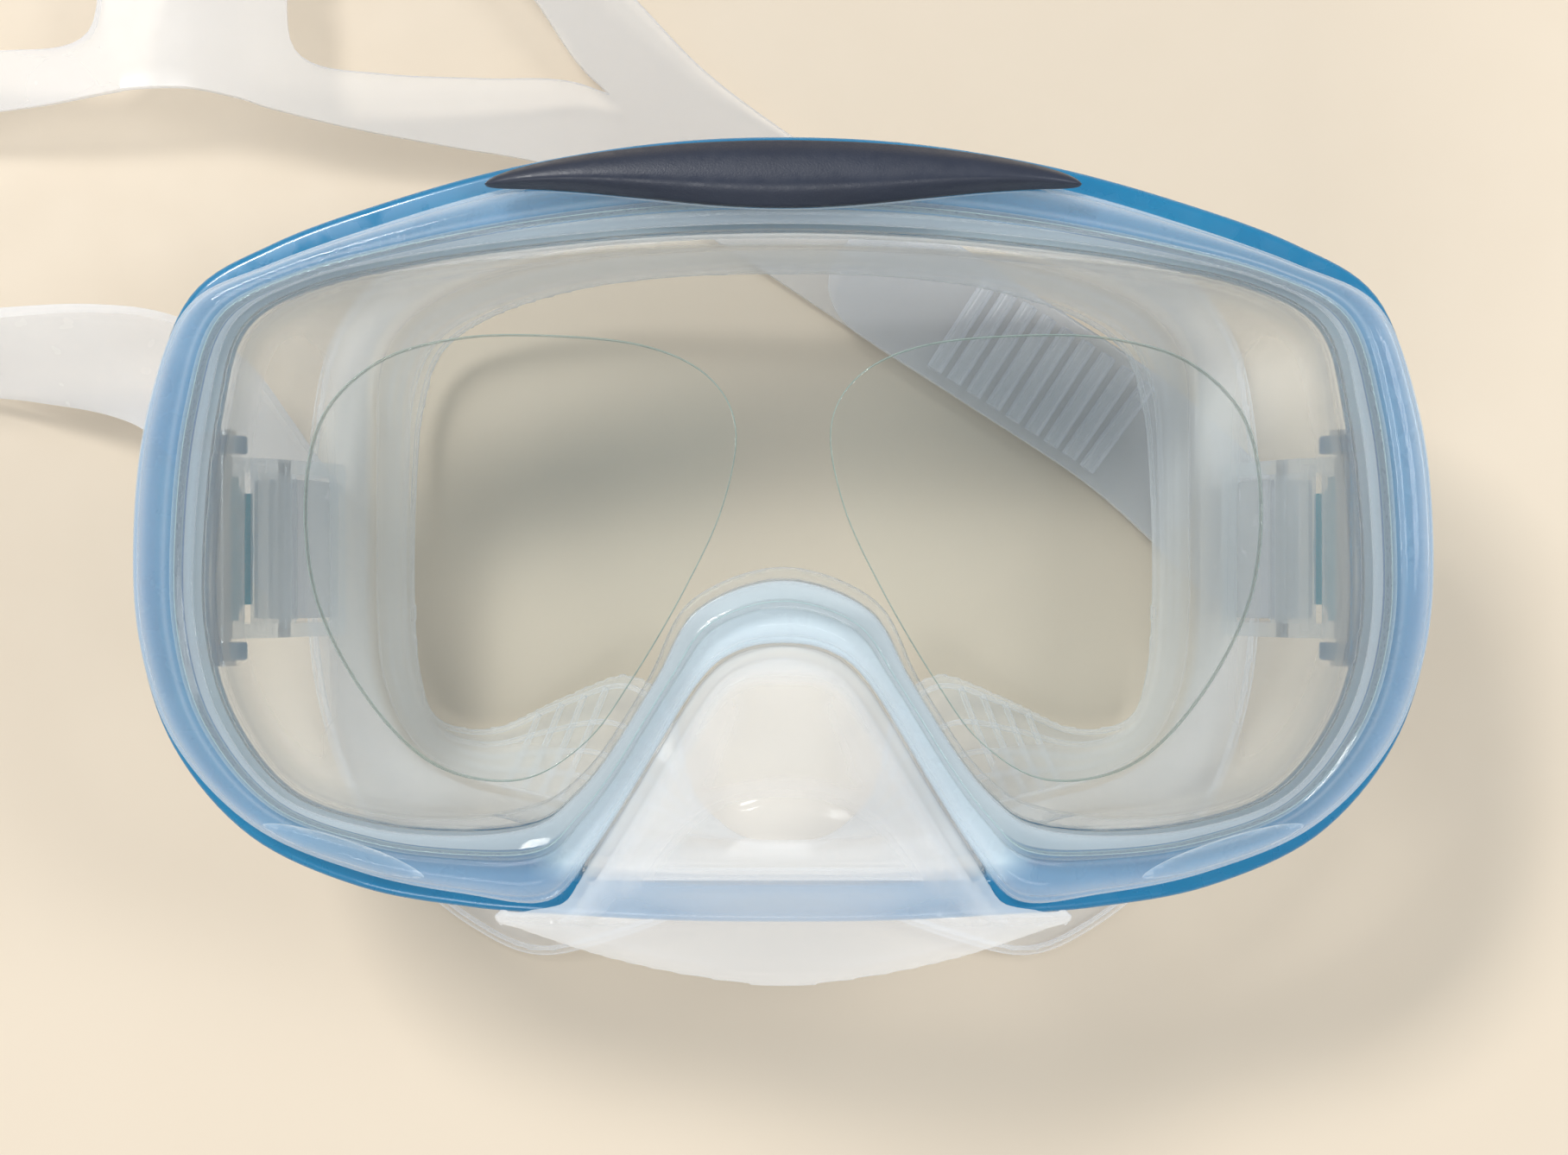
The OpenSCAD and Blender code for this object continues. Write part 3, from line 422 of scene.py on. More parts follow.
def remeshed(obj, voxel, smoothing):
    """Fuses overlapping shells into one even skin."""
    m = obj.modifiers.new("fuse", "REMESH")
    m.mode, m.voxel_size, m.use_smooth_shade = "VOXEL", voxel * MM, True
    s = obj.modifiers.new("even", "SMOOTH")
    s.factor, s.iterations = 0.5, smoothing
    apply_modifiers(obj)
    obj.data.shade_smooth()


def sharp_by_angle(obj, degrees=35):
    obj.data.shade_smooth()
    obj.data.set_sharp_from_angle(angle=math.radians(degrees))


def own(obj, body, slot, material, *nodes):
    """Gives a piece its material and body, and hides the CAD nodes it stands for. slot is not used."""
    if len(obj.data.materials) < 2:
        obj.data.materials.clear()
        obj.data.materials.append(material)
    if body:
        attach(obj, body)
    if nodes:
        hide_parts(*nodes)
    return obj


# ---- Materials ----

class Graph:
    """Short way to make a material's nodes."""

    def __init__(self, name):
        self.material = bpy.data.materials.new(name)
        self.material.use_nodes = True
        self.tree = self.material.node_tree
        self.tree.nodes.clear()
        self.out = self.node("ShaderNodeOutputMaterial")

    def node(self, kind, **settings):
        n = self.tree.nodes.new(kind)
        for key, value in settings.items():
            if hasattr(n, key):
                setattr(n, key, value)
            else:
                n.inputs[key.replace("_", " ")].default_value = value
        return n

    def link(self, a, b):
        self.tree.links.new(a, b)
        return self

    def noise(self, scale, detail=2.0, roughness=0.5):
        """Noise in metres of the object's own space."""
        place = self.node("ShaderNodeTexCoord")
        n = self.node("ShaderNodeTexNoise", Scale=scale, Detail=detail, Roughness=roughness)
        self.link(place.outputs["Object"], n.inputs["Vector"])
        return n.outputs["Fac"]

    def along(self, axis):
        """Place along one axis of the object's own space, in metres."""
        place = self.node("ShaderNodeTexCoord")
        split = self.node("ShaderNodeSeparateXYZ")
        self.link(place.outputs["Object"], split.inputs[0])
        return split.outputs[axis]

    def maths(self, operation, a, b=None):
        n = self.node("ShaderNodeMath", operation=operation)
        self.link(a, n.inputs[0])
        if b is not None:
            self.link(b, n.inputs[1])
        return n.outputs[0]

    def blended(self, factor, a, b):
        """Colour a where the factor is 0, and b where it is 1."""
        n = self.node("ShaderNodeMix", data_type="RGBA")
        self.link(factor, n.inputs[0])
        for socket, colour in ((n.inputs[6], a), (n.inputs[7], b)):
            if isinstance(colour, tuple):
                socket.default_value = (*colour, 1)
            else:
                self.link(colour, socket)
        return n.outputs[2]

    def ranged(self, value, low, high, at_low, at_high):
        n = self.node("ShaderNodeMapRange", From_Min=low, From_Max=high, To_Min=at_low, To_Max=at_high)
        self.link(value, n.inputs["Value"])
        return n.outputs["Result"]

    def ramp(self, value, low, high):
        n = self.node("ShaderNodeValToRGB")
        n.color_ramp.elements[0].color = (*low, 1)
        n.color_ramp.elements[1].color = (*high, 1)
        self.link(value, n.inputs["Fac"])
        return n.outputs["Color"]

    def bump(self, height, strength, distance):
        n = self.node("ShaderNodeBump", Strength=strength, Distance=distance)
        self.link(height, n.inputs["Height"])
        return n.outputs["Normal"]

    def finish(self, shader):
        self.link(shader, self.out.inputs["Surface"])
        return self.material


def see_through(g, shader, tint, cover):
    """Mixes a surface with plain transparency. cover is the surface's share."""
    clear = g.node("ShaderNodeBsdfTransparent")
    if isinstance(tint, tuple):
        clear.inputs["Color"].default_value = (*tint, 1)
    else:
        g.link(tint, clear.inputs["Color"])
    mix = g.node("ShaderNodeMixShader")
    g.link(cover, mix.inputs["Fac"])
    g.link(clear.outputs[0], mix.inputs[1])
    g.link(shader, mix.inputs[2])
    return mix.outputs[0]


def edge_cover(g, face_on, edge_on, blend=0.35):
    """Share of the surface: low face on, high where the light runs along the wall."""
    facing = g.node("ShaderNodeLayerWeight", Blend=blend)
    return g.ranged(facing.outputs["Facing"], 0.0, 1.0, face_on, edge_on)


def glossy_body(g, colour, roughness, ior=1.49):
    """Moulded plastic's own surface, with faint flow marks."""
    p = g.node("ShaderNodeBsdfPrincipled", IOR=ior)
    p.inputs["Specular IOR Level"].default_value = 0.9
    p.inputs["Coat Weight"].default_value = 0.6
    p.inputs["Coat Roughness"].default_value = 0.04
    g.link(colour, p.inputs["Base Color"])
    g.link(g.ranged(g.noise(220, 4), 0.3, 0.7, roughness * 0.6, roughness * 1.5), p.inputs["Roughness"])
    g.link(g.bump(g.noise(45, 1), 0.12, 0.0004), p.inputs["Normal"])
    return p.outputs[0]


def clear_plastic(name, low, high, tint, face_on, edge_on, roughness=0.12):
    """Moulded see-through plastic."""
    g = Graph(name)
    body = glossy_body(g, g.ramp(g.noise(60), low, high), roughness)
    return g.finish(see_through(g, body, tint, edge_cover(g, face_on, edge_on)))


def frame_plastic(name, low, high, tint, clear, face_on, edge_on):
    """Blue see-through plastic that runs out to clear round the nose notch."""
    g = Graph(name)
    near = g.ranged(g.maths("ABSOLUTE", g.along("X")), NOTCH_HALF_X * MM, (NOTCH_HALF_X + 5) * MM, 1, 0)
    above = g.ranged(g.along("Y"), (NOTCH_Y - 2.5) * MM, NOTCH_Y * MM, 0, 1)
    below = g.ranged(g.along("Y"), 0.0, 4 * MM, 1, 0)
    notch = g.maths("MULTIPLY", g.maths("MULTIPLY", near, above), below)
    body = glossy_body(g, g.blended(notch, g.ramp(g.noise(60), low, high), clear), 0.28)
    return g.finish(see_through(g, body, g.blended(notch, tint, clear), edge_cover(g, face_on, edge_on)))


def silicone(name, tint, face_on, edge_on, roughness, frosted=None):
    """Cast clear silicone: see-through face on, whiter at its edges.
    frosted is the cover above the lens, where the moulding is matt."""
    g = Graph(name)
    p = g.node("ShaderNodeBsdfPrincipled", IOR=1.45)
    p.inputs["Subsurface Weight"].default_value = 0.15
    p.inputs["Subsurface Radius"].default_value = (0.003, 0.003, 0.003)
    p.inputs["Specular IOR Level"].default_value = 0.8
    g.link(g.ramp(g.noise(60, 2), tuple(c * 0.96 for c in tint), tint), p.inputs["Base Color"])
    g.link(g.ranged(g.noise(250, 2), 0.3, 0.7, roughness * 0.8, roughness * 1.25), p.inputs["Roughness"])
    g.link(g.bump(g.noise(160, 1), 0.1, 0.0002), p.inputs["Normal"])
    cover = edge_cover(g, face_on, edge_on, 0.3)
    if frosted:
        matt = g.ranged(g.along("Z"), -3.0 * MM, -0.5 * MM, 0, frosted)
        cover = g.maths("MAXIMUM", cover, matt)
    return g.finish(see_through(g, p.outputs[0], (0.985, 0.99, 0.995), cover))


def pane(name, tint, strength):
    """Polished face of a glass pane, seen straight through."""
    g = Graph(name)
    clear = g.node("ShaderNodeBsdfTransparent", Color=(*tint, 1))
    shine = g.node("ShaderNodeBsdfGlossy")
    g.link(g.ranged(g.noise(120, 3), 0.3, 0.7, 0.0, 0.04), shine.inputs["Roughness"])
    fresnel = g.node("ShaderNodeFresnel", IOR=1.52)
    mix = g.node("ShaderNodeMixShader")
    g.link(g.ranged(fresnel.outputs[0], 0, 1, 0, strength), mix.inputs["Fac"])
    g.link(clear.outputs[0], mix.inputs[1])
    g.link(shine.outputs[0], mix.inputs[2])
    return g.finish(mix.outputs[0])


def ground_edge(name, tint):
    """Ground edge of a glass pane, which glows pale green."""
    g = Graph(name)
    p = g.node("ShaderNodeBsdfPrincipled", IOR=1.52)
    g.link(g.ramp(g.noise(300, 3), tuple(c * 0.8 for c in tint), tint), p.inputs["Base Color"])
    g.link(g.ranged(g.noise(800, 2), 0.3, 0.7, 0.2, 0.45), p.inputs["Roughness"])
    clear = g.node("ShaderNodeBsdfTransparent")
    mix = g.node("ShaderNodeMixShader")
    mix.inputs["Fac"].default_value = 0.55
    g.link(clear.outputs[0], mix.inputs[1])
    g.link(p.outputs[0], mix.inputs[2])
    return g.finish(mix.outputs[0])


def soft_touch(name, low, high):
    """Rubbery coating with a fine even grain."""
    g = Graph(name)
    p = g.node("ShaderNodeBsdfPrincipled", IOR=1.45)
    p.inputs["Sheen Weight"].default_value = 0.08
    p.inputs["Sheen Roughness"].default_value = 0.4
    g.link(g.ramp(g.noise(150, 4), low, high), p.inputs["Base Color"])
    g.link(g.ranged(g.noise(700, 3), 0.3, 0.7, 0.34, 0.5), p.inputs["Roughness"])
    g.link(g.bump(g.noise(3500, 2), 0.25, 0.0001), p.inputs["Normal"])
    return g.finish(p.outputs[0])


def steel(name):
    """Drawn steel pin."""
    g = Graph(name)
    p = g.node("ShaderNodeBsdfPrincipled")
    p.inputs["Metallic"].default_value = 1.0
    g.link(g.ramp(g.noise(400, 3), (0.5, 0.51, 0.53), (0.68, 0.69, 0.7)), p.inputs["Base Color"])
    g.link(g.ranged(g.noise(1500, 4), 0.3, 0.7, 0.2, 0.38), p.inputs["Roughness"])
    return g.finish(p.outputs[0])


def tabletop():
    """Pale matt floor."""
    g = Graph("floor_pale")
    p = g.node("ShaderNodeBsdfPrincipled")
    g.link(g.ramp(g.noise(12, 3), (0.60, 0.51, 0.40), (0.63, 0.54, 0.43)), p.inputs["Base Color"])
    g.link(g.ranged(g.noise(90, 2), 0.3, 0.7, 0.55, 0.7), p.inputs["Roughness"])
    return g.finish(p.outputs[0])


BEZEL_CLEAR = clear_plastic("bezel_polycarbonate", (0.86, 0.91, 0.97), (0.92, 0.96, 1.0),
                            (0.94, 0.975, 0.99), 0.08, 0.62, 0.09)
FRAME_BLUE = frame_plastic("frame_blue_tint", (0.0, 0.17, 0.40), (0.01, 0.26, 0.50), (0.08, 0.60, 0.80),
                           (0.93, 0.96, 0.99), 0.5, 0.88)
BUCKLE_CLEAR = clear_plastic("buckle_polycarbonate", (0.88, 0.93, 0.98), (0.94, 0.97, 1.0),
                             (0.97, 0.985, 0.99), 0.12, 0.8)
LEVER_BLUE = clear_plastic("lever_blue_tint", (0.0, 0.42, 0.56), (0.0, 0.52, 0.66),
                           (0.1, 0.75, 0.85), 0.75, 0.95)
SKIRT_SILICONE = silicone("skirt_silicone", (0.96, 0.975, 0.995), 0.08, 0.85, 0.13, 0.18)
GASKET_SILICONE = silicone("gasket_silicone", (0.95, 0.97, 0.99), 0.45, 0.9, 0.2)
STRAP_SILICONE = silicone("strap_silicone", (0.86, 0.875, 0.91), 0.19, 0.95, 0.22)
LENS_GLASS = pane("lens_glass", (0.985, 0.995, 0.993), 0.8)
CORRECTIVE_GLASS = pane("corrective_glass", (0.988, 0.996, 0.994), 0.6)
GLASS_EDGE = ground_edge("glass_ground_edge", (0.55, 0.72, 0.66))
NAVY = soft_touch("trim_soft_touch", (0.012, 0.016, 0.03), (0.02, 0.026, 0.045))
PIN_STEEL = steel("pin_steel")

# ---- Pieces ----

def cut(obj, cutters):
    """Takes closed solids out of an object."""
    for k, (v, f) in enumerate(cutters):
        tool = mesh_object(f"tool_{k}", v, f)
        m = obj.modifiers.new("cut", "BOOLEAN")
        m.operation, m.solver, m.object = "DIFFERENCE", "MANIFOLD", tool
        apply_modifiers(obj)
        bpy.data.objects.remove(tool)


def scoop(side):
    """Leaf-shaped hollow in the bezel's lower corner."""
    rows = []
    for t in np.linspace(-math.pi / 2, math.pi / 2, 33)[1:-1]:
        r = SCOOP_SIZE * (1, math.cos(t), math.cos(t))
        ring = [(r[0] * math.sin(t), r[1] * math.cos(a), r[2] * math.sin(a))
                for a in np.linspace(0, 2 * math.pi, 17)[:-1]]
        rows.append(ring)
    c, sn = math.cos(side * SCOOP_TURN), math.sin(side * SCOOP_TURN)
    rows = np.array(rows) @ np.array([(c, sn, 0), (-sn, c, 0), (0, 0, 1)])
    return loft(rows + np.array(SCOOP_PLACE) * (side, 1, 1), False)


def make_bezel():
    """Clear ring over the lens's edge: inner lip, domed crest with a fine step, and outer skirt."""
    crest = open_curve(BEZEL_CREST, 3)
    section = BEZEL_UNDERSIDE + [tuple(q) for q in crest[::-1]] + BEZEL_LIP
    rails = [rail(f, 10) for f, _ in section]
    rows = [[(*rails[j][i], section[j][1]) for j in range(len(section))] for i in range(len(rails[0]))]
    obj = mesh_object("bezel_moulding", *loft(rows, True))
    xs = TRIM_HALF * np.sin(np.linspace(-math.pi / 2, math.pi / 2, 97))
    recess = np.concatenate([np.column_stack([xs, trim_high(xs) + TRIM_GAP]),
                             np.column_stack([xs, trim_low(xs) - TRIM_GAP])[::-1]])
    cut(obj, [slab([recess], TRIM_FLOOR_Z - 0.1, 10.0), scoop(1), scoop(-1)])
    sharp_by_angle(obj, 40)
    return own(obj, "mask", "bezel_clear", BEZEL_CLEAR, "bezel")


def make_frame():
    """Blue ring under the bezel with the bar below the nose, and the ears for the hinge pins."""
    silhouette = outline(FRAME_HALF, 8)
    hollow = outline([tuple(q) for q in rail_half(0.6)[:HOLLOW_RAIL_STATIONS]] + BAR_INNER_HALF, 8)
    nose_gap = outline(NOSE_GAP_HALF, 8)
    parts = [
        slab([silhouette, hollow], FRAME_BOTTOM_Z, FRAME_TOP_Z - HAIRLINE,
             RIM_ROUND_LOW, RIM_ROUND_TOP),
        slab([silhouette * 0.985, rail(0.5), nose_gap], FLANGE_Z, FRAME_TOP_Z - HAIRLINE, 0.0, 0.4),
        slab([rail(0.75), rail(0.12)], FLANGE_Z, SEAT_Z, 0.2, 0.4)]
    eye = [(PIN_X + EAR_R * math.cos(t), PIN_Z + EAR_R * math.sin(t))
           for t in np.linspace(0, 2 * math.pi, 33)[:-1]]
    for side in (-1, 1):
        for y0 in (BUCKLE_Y + EAR_ABOVE, BUCKLE_Y - EAR_BELOW):
            for loop in (EAR_WEB, eye):
                v, f = slab([np.asarray(loop, float)], y0, y0 + EAR_T, EAR_ROUND, EAR_ROUND)
                v = np.column_stack([side * v[:, 0], v[:, 2], v[:, 1]])
                f = [t[::-1] for t in f] if side > 0 else f
                parts.append((v, f))
    obj = united("frame_moulding", parts)
    sharp_by_angle(obj, 40)
    return own(obj, "mask", "frame_blue", FRAME_BLUE, "frame")


def trim_blunt(x):
    """Half height that keeps the ends of the trim round instead of pointed."""
    return TRIM_BLUNT * np.sqrt(np.maximum(0, 1 - np.abs(x / TRIM_HALF) ** 24))


def trim_low(x):
    return TRIM_LOW_Y + (TRIM_END_Y - TRIM_LOW_Y) * (1 - np.cos(np.pi * x / TRIM_HALF)) / 2 \
        - 0.5 * trim_blunt(x) * (np.abs(x) / TRIM_HALF) ** 2


def trim_high(x):
    return TRIM_END_Y + TRIM_RISE * np.maximum(0, 1 - (x / TRIM_HALF) ** 2) ** 0.8 \
        + 0.5 * trim_blunt(x) * (np.abs(x) / TRIM_HALF) ** 2


def make_trim():
    """Leaf-shaped insert with a soft ridge nearer its lower edge."""
    rows = []
    for k in range(-48, 49):
        x = TRIM_HALF * math.sin(math.pi / 2 * k / 48)
        low = float(trim_low(x))
        high = max(float(trim_high(x)), low + 0.1)
        lift = math.sqrt(max(0.0, 1 - min(abs(x) / (TRIM_HALF + 0.5), 1) ** 4))
        ridge = low + TRIM_RIDGE_SHARE * (high - low)
        side_z = TRIM_FLOOR_Z + (TRIM_SIDE_Z - TRIM_FLOOR_Z) * lift + TRIM_SEAT_LIFT
        ridge_z = TRIM_FLOOR_Z + (TRIM_RIDGE_Z - TRIM_FLOOR_Z) * lift + TRIM_SEAT_LIFT
        rise = ridge_z - side_z
        top = open_curve([(low, side_z), (low + 0.5 * (ridge - low), side_z + 0.8 * rise),
                          (ridge, ridge_z), (ridge + 0.6 * (high - ridge), side_z + 0.7 * rise),
                          (high, side_z)], 5)
        section = [(high, TRIM_FLOOR_Z)] + [tuple(q) for q in top[::-1]] + [(low, TRIM_FLOOR_Z)]
        rows.append([(x, y, z) for y, z in section])
    obj = mesh_object("trim_insert", *loft(rows, False))
    sharp_by_angle(obj, 50)
    return own(obj, "mask", "trim_navy", NAVY, "brow_trim")


def make_pane(name, loop, z0, z1, face, node, slot):
    """Glass pane whose edge has its own finish."""
    obj = mesh_object(name, *slab([loop], z0, z1, PANE_ROUND, PANE_ROUND))
    obj.data.materials.append(face)
    obj.data.materials.append(GLASS_EDGE)
    for polygon in obj.data.polygons:
        polygon.material_index = 0 if abs(polygon.normal.z) > 0.95 else 1
    sharp_by_angle(obj, 30)
    return own(obj, "mask", slot, face, node)


def wall_grid(steps):
    top = np.array([tuple(q) for q in rail_half(0.02)[:SKIRT_RAIL_STATIONS]] + UNDER_NOSE_HALF)
    waist, tip = np.asarray(WAIST_HALF, float), np.asarray(OUTER_SEAL_HALF, float)
    high = np.column_stack([top, np.full(len(top), ROOF_Z + 0.8)])
    mid = np.column_stack([waist, tip[:, 2] * WAIST_LEVEL])
    rows = []
    for a, b, table in ((high, mid, UPPER_WALL), (mid, tip, LOWER_WALL)):
        for across, down in table:
            row = a + (b - a) * (across, across, down)
            rows.append(row)
    half = np.stack(rows, 1)
    full = np.concatenate([half, half[-2:0:-1] * (-1, 1, 1)])
    around = closed_curve(full, steps)
    return np.stack([open_curve(section, 4) for section in around])


def inner_lip_grid(wall, steps):
    tip = closed_curve(whole(INNER_SEAL_HALF), steps)
    root = wall[:, 4 * len(UPPER_WALL)]
    rows = [root + (tip - root) * (a, a, d) for a, d in INNER_LIP]
    grid = np.stack(rows, 1)
    return np.stack([open_curve(section, 4) for section in grid])


def roof_outline():
    """Edge of the flat roof: along the lens's notch from cheek to cheek, and back under the nose."""
    steps, first = 6, 12
    notch = rail(0.0, steps)[first * steps:(36 - first) * steps + 1]
    under = np.asarray(ROOF_UNDER_HALF, float)
    return np.concatenate([notch, under * (-1, 1), under[::-1][1:]])


def ring_from(section):
    """Ring with a section of (rail fraction, level)."""
    rails = [rail(f, 6) for f, _ in section]
    return loft([[(*rails[j][i], section[j][1]) for j in range(len(section))]
                 for i in range(len(rails[0]))], True)


def make_gasket():
    """Bead behind the lens's edge, thick enough to look white."""
    obj = mesh_object("skirt_gasket", *ring_from([(0.38, LENS_BACK_Z - 0.03), (0.13, LENS_BACK_Z - 0.03),
                                                  (0.13, GASKET_BACK_Z), (0.38, GASKET_BACK_Z)]))
    sharp_by_angle(obj)
    return own(obj, "mask", "skirt_silicone", GASKET_SILICONE)


def pocket_surface(columns=61):
    """Grid over the nose pocket, with the step of its frosted tip."""
    table = open_curve(POCKET_ROWS, 6)
    grid = []
    for y, half, edge_z, mid_z in table:
        s = np.sin(np.linspace(-math.pi / 2, math.pi / 2, columns))
        arch = np.maximum(0, 1 - np.abs(s) ** 2.6) ** 0.62
        x = half * s
        z = edge_z + (mid_z - edge_z) * arch
        inside = TIP_R - np.hypot(x, y - TIP_Y)
        fade = smooth_step((y - LIP_TOP_Y) / 4) * arch
        z = z + (TIP_RISE * smooth_step(inside / 2.4) - 0.5 * TIP_RISE) * fade
        from_edge = np.minimum(half * (1 - np.abs(s)), 0.75 * (POCKET_ROWS[0][0] - y))
        z = z + BEAD_RISE * np.exp(-((from_edge - BEAD_IN) / BEAD_WIDTH) ** 2) * smooth_step((y + 47) / 6)
        grid.append(np.column_stack([x, np.full(columns, y), z]))
    return np.array(grid)


def tube(path, radius, sides=8, ring=True):
    """Round bead along a path."""
    path = np.asarray(path, float)
    along = (np.roll(path, -1, 0) - np.roll(path, 1, 0)) if ring else np.gradient(path, axis=0)
    along /= np.linalg.norm(along, axis=1, keepdims=True)
    side = np.cross(along, (0, 0, 1.0))
    side /= np.maximum(np.linalg.norm(side, axis=1, keepdims=True), 1e-9)
    up = np.cross(side, along)
    turn = np.linspace(0, 2 * math.pi, sides, endpoint=False)
    rows = path[:, None] + radius * (side[:, None] * np.cos(turn)[None, :, None]
                                     + up[:, None] * np.sin(turn)[None, :, None])
    return loft(rows, ring)


def make_skirt():
    """Silicone skirt: gasket, roof, nose pocket, wall with the outer seal, and inner seal."""
    wall = wall_grid(6)
    lip = inner_lip_grid(wall, 6)
    pocket = pocket_surface()
    normals = grid_normals(pocket, False)
    inward = np.where(normals[:, :, 2:] > 0, -1.0, 1.0)
    neck = ring_from([(0.12, LENS_BACK_Z - 0.03), (-0.07, LENS_BACK_Z - 0.03), (-0.07, ROOF_Z),
                      (0.08, ROOF_Z), (0.08, SEAT_Z), (0.12, SEAT_Z)])
    parts = [neck, ring_sheet(wall, SKIRT_T), ring_sheet(lip, INNER_LIP_T),
             grid_solid(pocket, pocket + normals * inward * POCKET_T)]
    parts.append(slab([roof_outline(), outline(NOSE_INNER_HALF)], ROOF_Z + 0.1, ROOF_TOP_Z))
    parts.append(slab([outline(NOSE_OUTER_HALF), outline(NOSE_INNER_HALF)], ROOF_Z, FRAME_TOP_Z))
    obj = mesh_object("skirt_moulding", *joined(parts))
    remeshed(obj, SKIRT_VOXEL, SKIRT_SMOOTHING)
    return own(obj, "mask", "skirt_silicone", SKIRT_SILICONE, "skirt")


def make_seal_details():
    """Fine beads along the inner seal, a round hem on the outer seal, and upright ribs on the cheeks."""
    wall = wall_grid(6)
    lip = inner_lip_grid(wall, 6)
    parts = [tube(lip[:, k], SEAL_BEAD_R) for k in SEAL_BEADS] + [tube(wall[:, -1], HEM_R, 10)]
    tip = lip[:, -1]
    low = tip[:, 1] < -10
    for side in (-1, 1):
        for x in RIB_X:
            k = int(np.argmin(np.where(low, np.abs(tip[:, 0] - side * x), np.inf)))
            parts.append(tube(open_curve(lip[k, 2:-1], 2), CHEEK_RIB_R, ring=False))
    obj = mesh_object("skirt_ribs", *joined(parts))
    obj.data.shade_smooth()
    return own(obj, "mask", "skirt_silicone", SKIRT_SILICONE)


def strap_half_width(w):
    return np.where(w <= 1, w * STRAP_HALF_W, STRAP_HALF_W + (PAD_HALF_W - STRAP_HALF_W) * (w - 1) / 1.5)


def on_buckle(side, out, drop):
    """Place on a buckle: how far outward from its mid plane, and how far down from its pin."""
    return (side * (PIN_X - drop * math.sin(FOLD) + out * math.cos(FOLD)), BUCKLE_Y,
            PIN_Z - drop * math.cos(FOLD) - out * math.sin(FOLD))


def loop_stations(side):
    """Up the outer leg, round the roller and down the inner leg."""
    leg = [(1.2, 28.5), (1.7, 25), (2.8, 21)]
    turn = [(LOOP_R * math.cos(t), ROLLER_DROP - LOOP_R * math.sin(t)) for t in np.linspace(0, math.pi, 9)]
    path = leg + turn + [(-o, d) for o, d in leg[::-1]]
    return [(*on_buckle(side, out, drop), 0, 1, 0, 1, 0) for out, drop in path]


def strap_route():
    """The whole strap in one: tail, right loop, bands and pad, left loop. And where it is cut."""
    route, cuts = TAIL_STATIONS[::-1], [0, len(TAIL_STATIONS) - 1 - TAIL_SEAM]
    route = route + loop_stations(1)[::-1]
    cuts.append(len(route) + REAR_SEAM)
    route = route + REAR_STATIONS
    cuts.append(len(route) - LEFT_SEAM)
    route = route + loop_stations(-1)
    return route, cuts + [len(route) - 1]


def strap_rows(route):
    fine = open_curve(route, STRAP_STEPS)
    place, across = fine[:, :3], fine[:, 3:6]
    along = np.gradient(place, axis=0)
    across = across / np.linalg.norm(across, axis=1, keepdims=True)
    up = np.cross(along, across)
    up /= np.linalg.norm(up, axis=1, keepdims=True)
    side = np.cross(up, along)
    side /= np.linalg.norm(side, axis=1, keepdims=True)
    hole = np.maximum(fine[:, 7], 0)
    return place, side, up, strap_half_width(fine[:, 6]), np.where(hole < 0.03, 0, hole)


def strap_sheet(route, columns=7):
    """Flat strap as two strips side by side, which part round each opening, and each face's row."""
    place, side, _, half, hole = strap_rows(route)
    verts, faces, rows, base = [], [], [], 0
    for s in (-1, 1):
        t = np.linspace(0, 1, columns)
        f = s * (hole[:, None] + (1 - hole[:, None]) * t[None, :])
        grid = place[:, None] + side[:, None] * (f * half[:, None])[:, :, None]
        n = len(place)
        verts.append(grid.reshape(-1, 3))
        for i in range(n - 1):
            for j in range(columns - 1):
                a = base + i * columns + j
                face = (a, a + 1, a + columns + 1, a + columns)
                faces.append(face if s > 0 else face[::-1])
                rows.append(i)
        base += n * columns
    return np.concatenate(verts), faces, rows


def part_of(obj, index, name):
    """The faces that carry one material index, as a closed object of their own."""
    bm = bmesh.new()
    bm.from_mesh(obj.data)
    bmesh.ops.delete(bm, geom=[f for f in bm.faces if f.material_index != index], context="FACES")
    bmesh.ops.holes_fill(bm, edges=[e for e in bm.edges if e.is_boundary], sides=0)
    for f in bm.faces:
        f.material_index = 0
    mesh = bpy.data.meshes.new(name)
    bm.to_mesh(mesh)
    bm.free()
    piece = bpy.data.objects.new(name, mesh)
    bpy.context.scene.collection.objects.link(piece)
    sharp_by_angle(piece, 60)
    return piece


def make_strap():
    """One moulding, parted where the buckles' swing begins to bend it."""
    route, cuts = strap_route()
    verts, faces, rows = strap_sheet(route)
    whole_strap = mesh_object("strap_whole", verts, faces)
    for _ in range(len(cuts) - 1):
        whole_strap.data.materials.append(STRAP_SILICONE)
    for polygon, row in zip(whole_strap.data.polygons, rows):
        polygon.material_index = sum(row >= c * STRAP_STEPS for c in cuts[1:-1])
    bm = bmesh.new()
    bm.from_mesh(whole_strap.data)
    bmesh.ops.remove_doubles(bm, verts=bm.verts, dist=0.02 * MM)
    bm.to_mesh(whole_strap.data)
    bm.free()
    s = whole_strap.modifiers.new("thick", "SOLIDIFY")
    s.thickness, s.offset, s.use_even_offset = STRAP_T * MM, 0.0, False
    b = whole_strap.modifiers.new("round", "BEVEL")
    b.width, b.segments, b.limit_method, b.angle_limit = STRAP_ROUND * MM, 3, "ANGLE", math.radians(50)
    apply_modifiers(whole_strap)
    names = ("strap_tail", "strap_end_right", "strap_band", "strap_end_left")
    nodes = (("strap_tail_right",), ("strap_loop_right",), ("strap_rear",), ("strap_loop_left",))
    for k, (name, stood_for) in enumerate(zip(names, nodes)):
        piece = part_of(whole_strap, k, name)
        bends = name.startswith("strap_end")
        own(piece, None if bends else "mask", "strap_silicone", STRAP_SILICONE, *stood_for)
        if bends:
            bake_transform(piece)
    bpy.data.objects.remove(whole_strap)


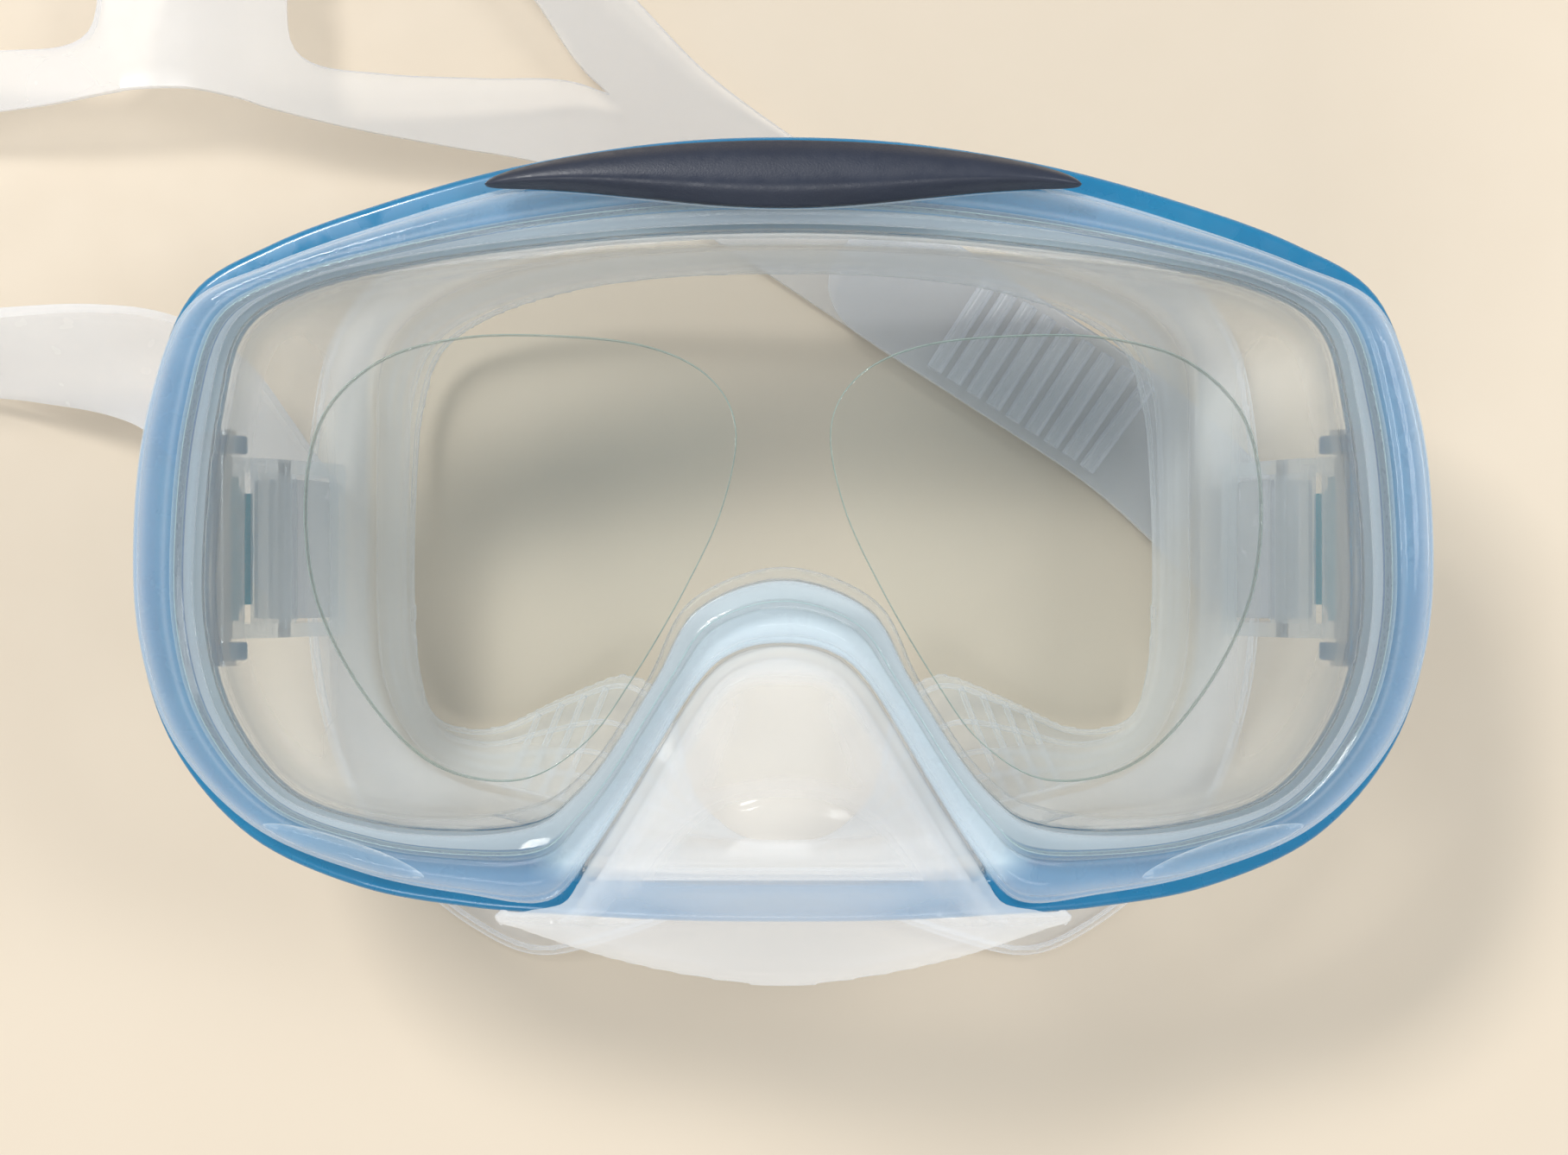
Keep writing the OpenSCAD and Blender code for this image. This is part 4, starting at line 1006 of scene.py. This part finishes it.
def make_strap_ribs():
    """Low ridges across the tail, which the buckle grips."""
    place, side, up, half, _ = strap_rows(TAIL_STATIONS)
    travelled = np.concatenate([[0], np.cumsum(np.linalg.norm(np.diff(place, axis=0), axis=1))])
    first = travelled[RIB_STATION * STRAP_STEPS]
    parts = []
    for k in range(STRAP_RIBS):
        at = first + k * RIB_PITCH
        middle, across, above = (np.array([np.interp(at, travelled, v) for v in t.T])
                                 for t in (place, side, up))
        top = np.sign(above[2]) * above * (STRAP_T / 2 + RIB_RISE - RIB_R)
        reach = np.linspace(-RIB_REACH, RIB_REACH, 7)[:, None]
        parts.append(tube(middle + across * np.interp(at, travelled, half) * reach + top, RIB_R, 12, False))
    obj = mesh_object("strap_tail_ribs", *joined(parts))
    sharp_by_angle(obj, 60)
    return own(obj, "mask", "strap_silicone", STRAP_SILICONE)


def finish_cad_nodes():
    """Small hard pieces keep their CAD shape, with softened edges."""
    finish = {"swing_pin": PIN_STEEL, "lever_pin": PIN_STEEL, "roller_axle": PIN_STEEL,
              "buckle_body": BUCKLE_CLEAR, "strap_roller": BUCKLE_CLEAR, "release_lever": LEVER_BLUE}
    for name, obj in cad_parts.items():
        kind = name.rsplit("_", 1)[0]
        if kind in finish:
            obj.data.materials.clear()
            obj.data.materials.append(finish[kind])
            b = obj.modifiers.new("soft_edges", "BEVEL")
            b.width, b.segments = SOFT_EDGE * MM, 2
            b.limit_method, b.angle_limit = "ANGLE", math.radians(40)


# ---- Stage ----

def make_floor():
    size, top = FLOOR_HALF, TABLE_Z - FLOOR_GAP
    v, f = slab([np.array([(-size, -size), (size, -size), (size, size), (-size, size)], float)],
                top - FLOOR_T, top, 0, 2)
    floor = mesh_object("floor", v, f)
    floor.data.materials.append(tabletop())


def area_light(name, place, size, power, colour):
    data = bpy.data.lights.new(name, "AREA")
    data.shape, data.size, data.size_y = "RECTANGLE", size[0], size[1]
    data.energy, data.color = power, colour
    lamp = bpy.data.objects.new(name, data)
    lamp.location = place
    lamp.rotation_euler = (Vector(LIGHT_TARGET) - Vector(place)).to_track_quat("-Z", "Y").to_euler()
    bpy.context.scene.collection.objects.link(lamp)


def light_the_stage():
    world = bpy.data.worlds.new("studio")
    bpy.context.scene.world = world
    world.use_nodes = True
    background = world.node_tree.nodes["Background"]
    background.inputs["Color"].default_value = WORLD_COLOUR
    background.inputs["Strength"].default_value = WORLD_STRENGTH
    for light in LIGHTS:
        area_light(*light)


def make_camera():
    data = bpy.data.cameras.new("camera")
    data.lens, data.sensor_width = CAMERA_LENS, CAMERA_SENSOR
    data.clip_start, data.clip_end = 0.01, 20
    camera = bpy.data.objects.new("camera", data)
    camera.location = CAMERA_PLACE
    camera.rotation_euler = (0, 0, 0)
    bpy.context.scene.collection.objects.link(camera)
    bpy.context.scene.camera = camera


def set_light_paths():
    cycles = bpy.context.scene.cycles
    cycles.max_bounces = 16
    cycles.transmission_bounces = 14
    cycles.transparent_max_bounces = 48
    cycles.caustics_refractive = False
    cycles.caustics_reflective = False
    bpy.context.scene.view_settings.view_transform = "Standard"


make_camera()
make_floor()
light_the_stage()
set_light_paths()
make_bezel()
make_frame()
make_trim()
make_pane("lens_pane", rail(0.42), LENS_BACK_Z, 0.0, LENS_GLASS, "lens", "lens_glass")
for side, word in ((-1, "left"), (1, "right")):
    shape = closed_curve(CORRECTIVE_POINTS, 8) * (side, 1)
    make_pane(f"corrective_pane_{word}", shape, LENS_BACK_Z - CORRECTIVE_T, LENS_BACK_Z - HAIRLINE,
              CORRECTIVE_GLASS, f"corrective_lens_{word}", "corrective_glass")
make_skirt()
make_gasket()
make_seal_details()
make_strap()
make_strap_ribs()
finish_cad_nodes()
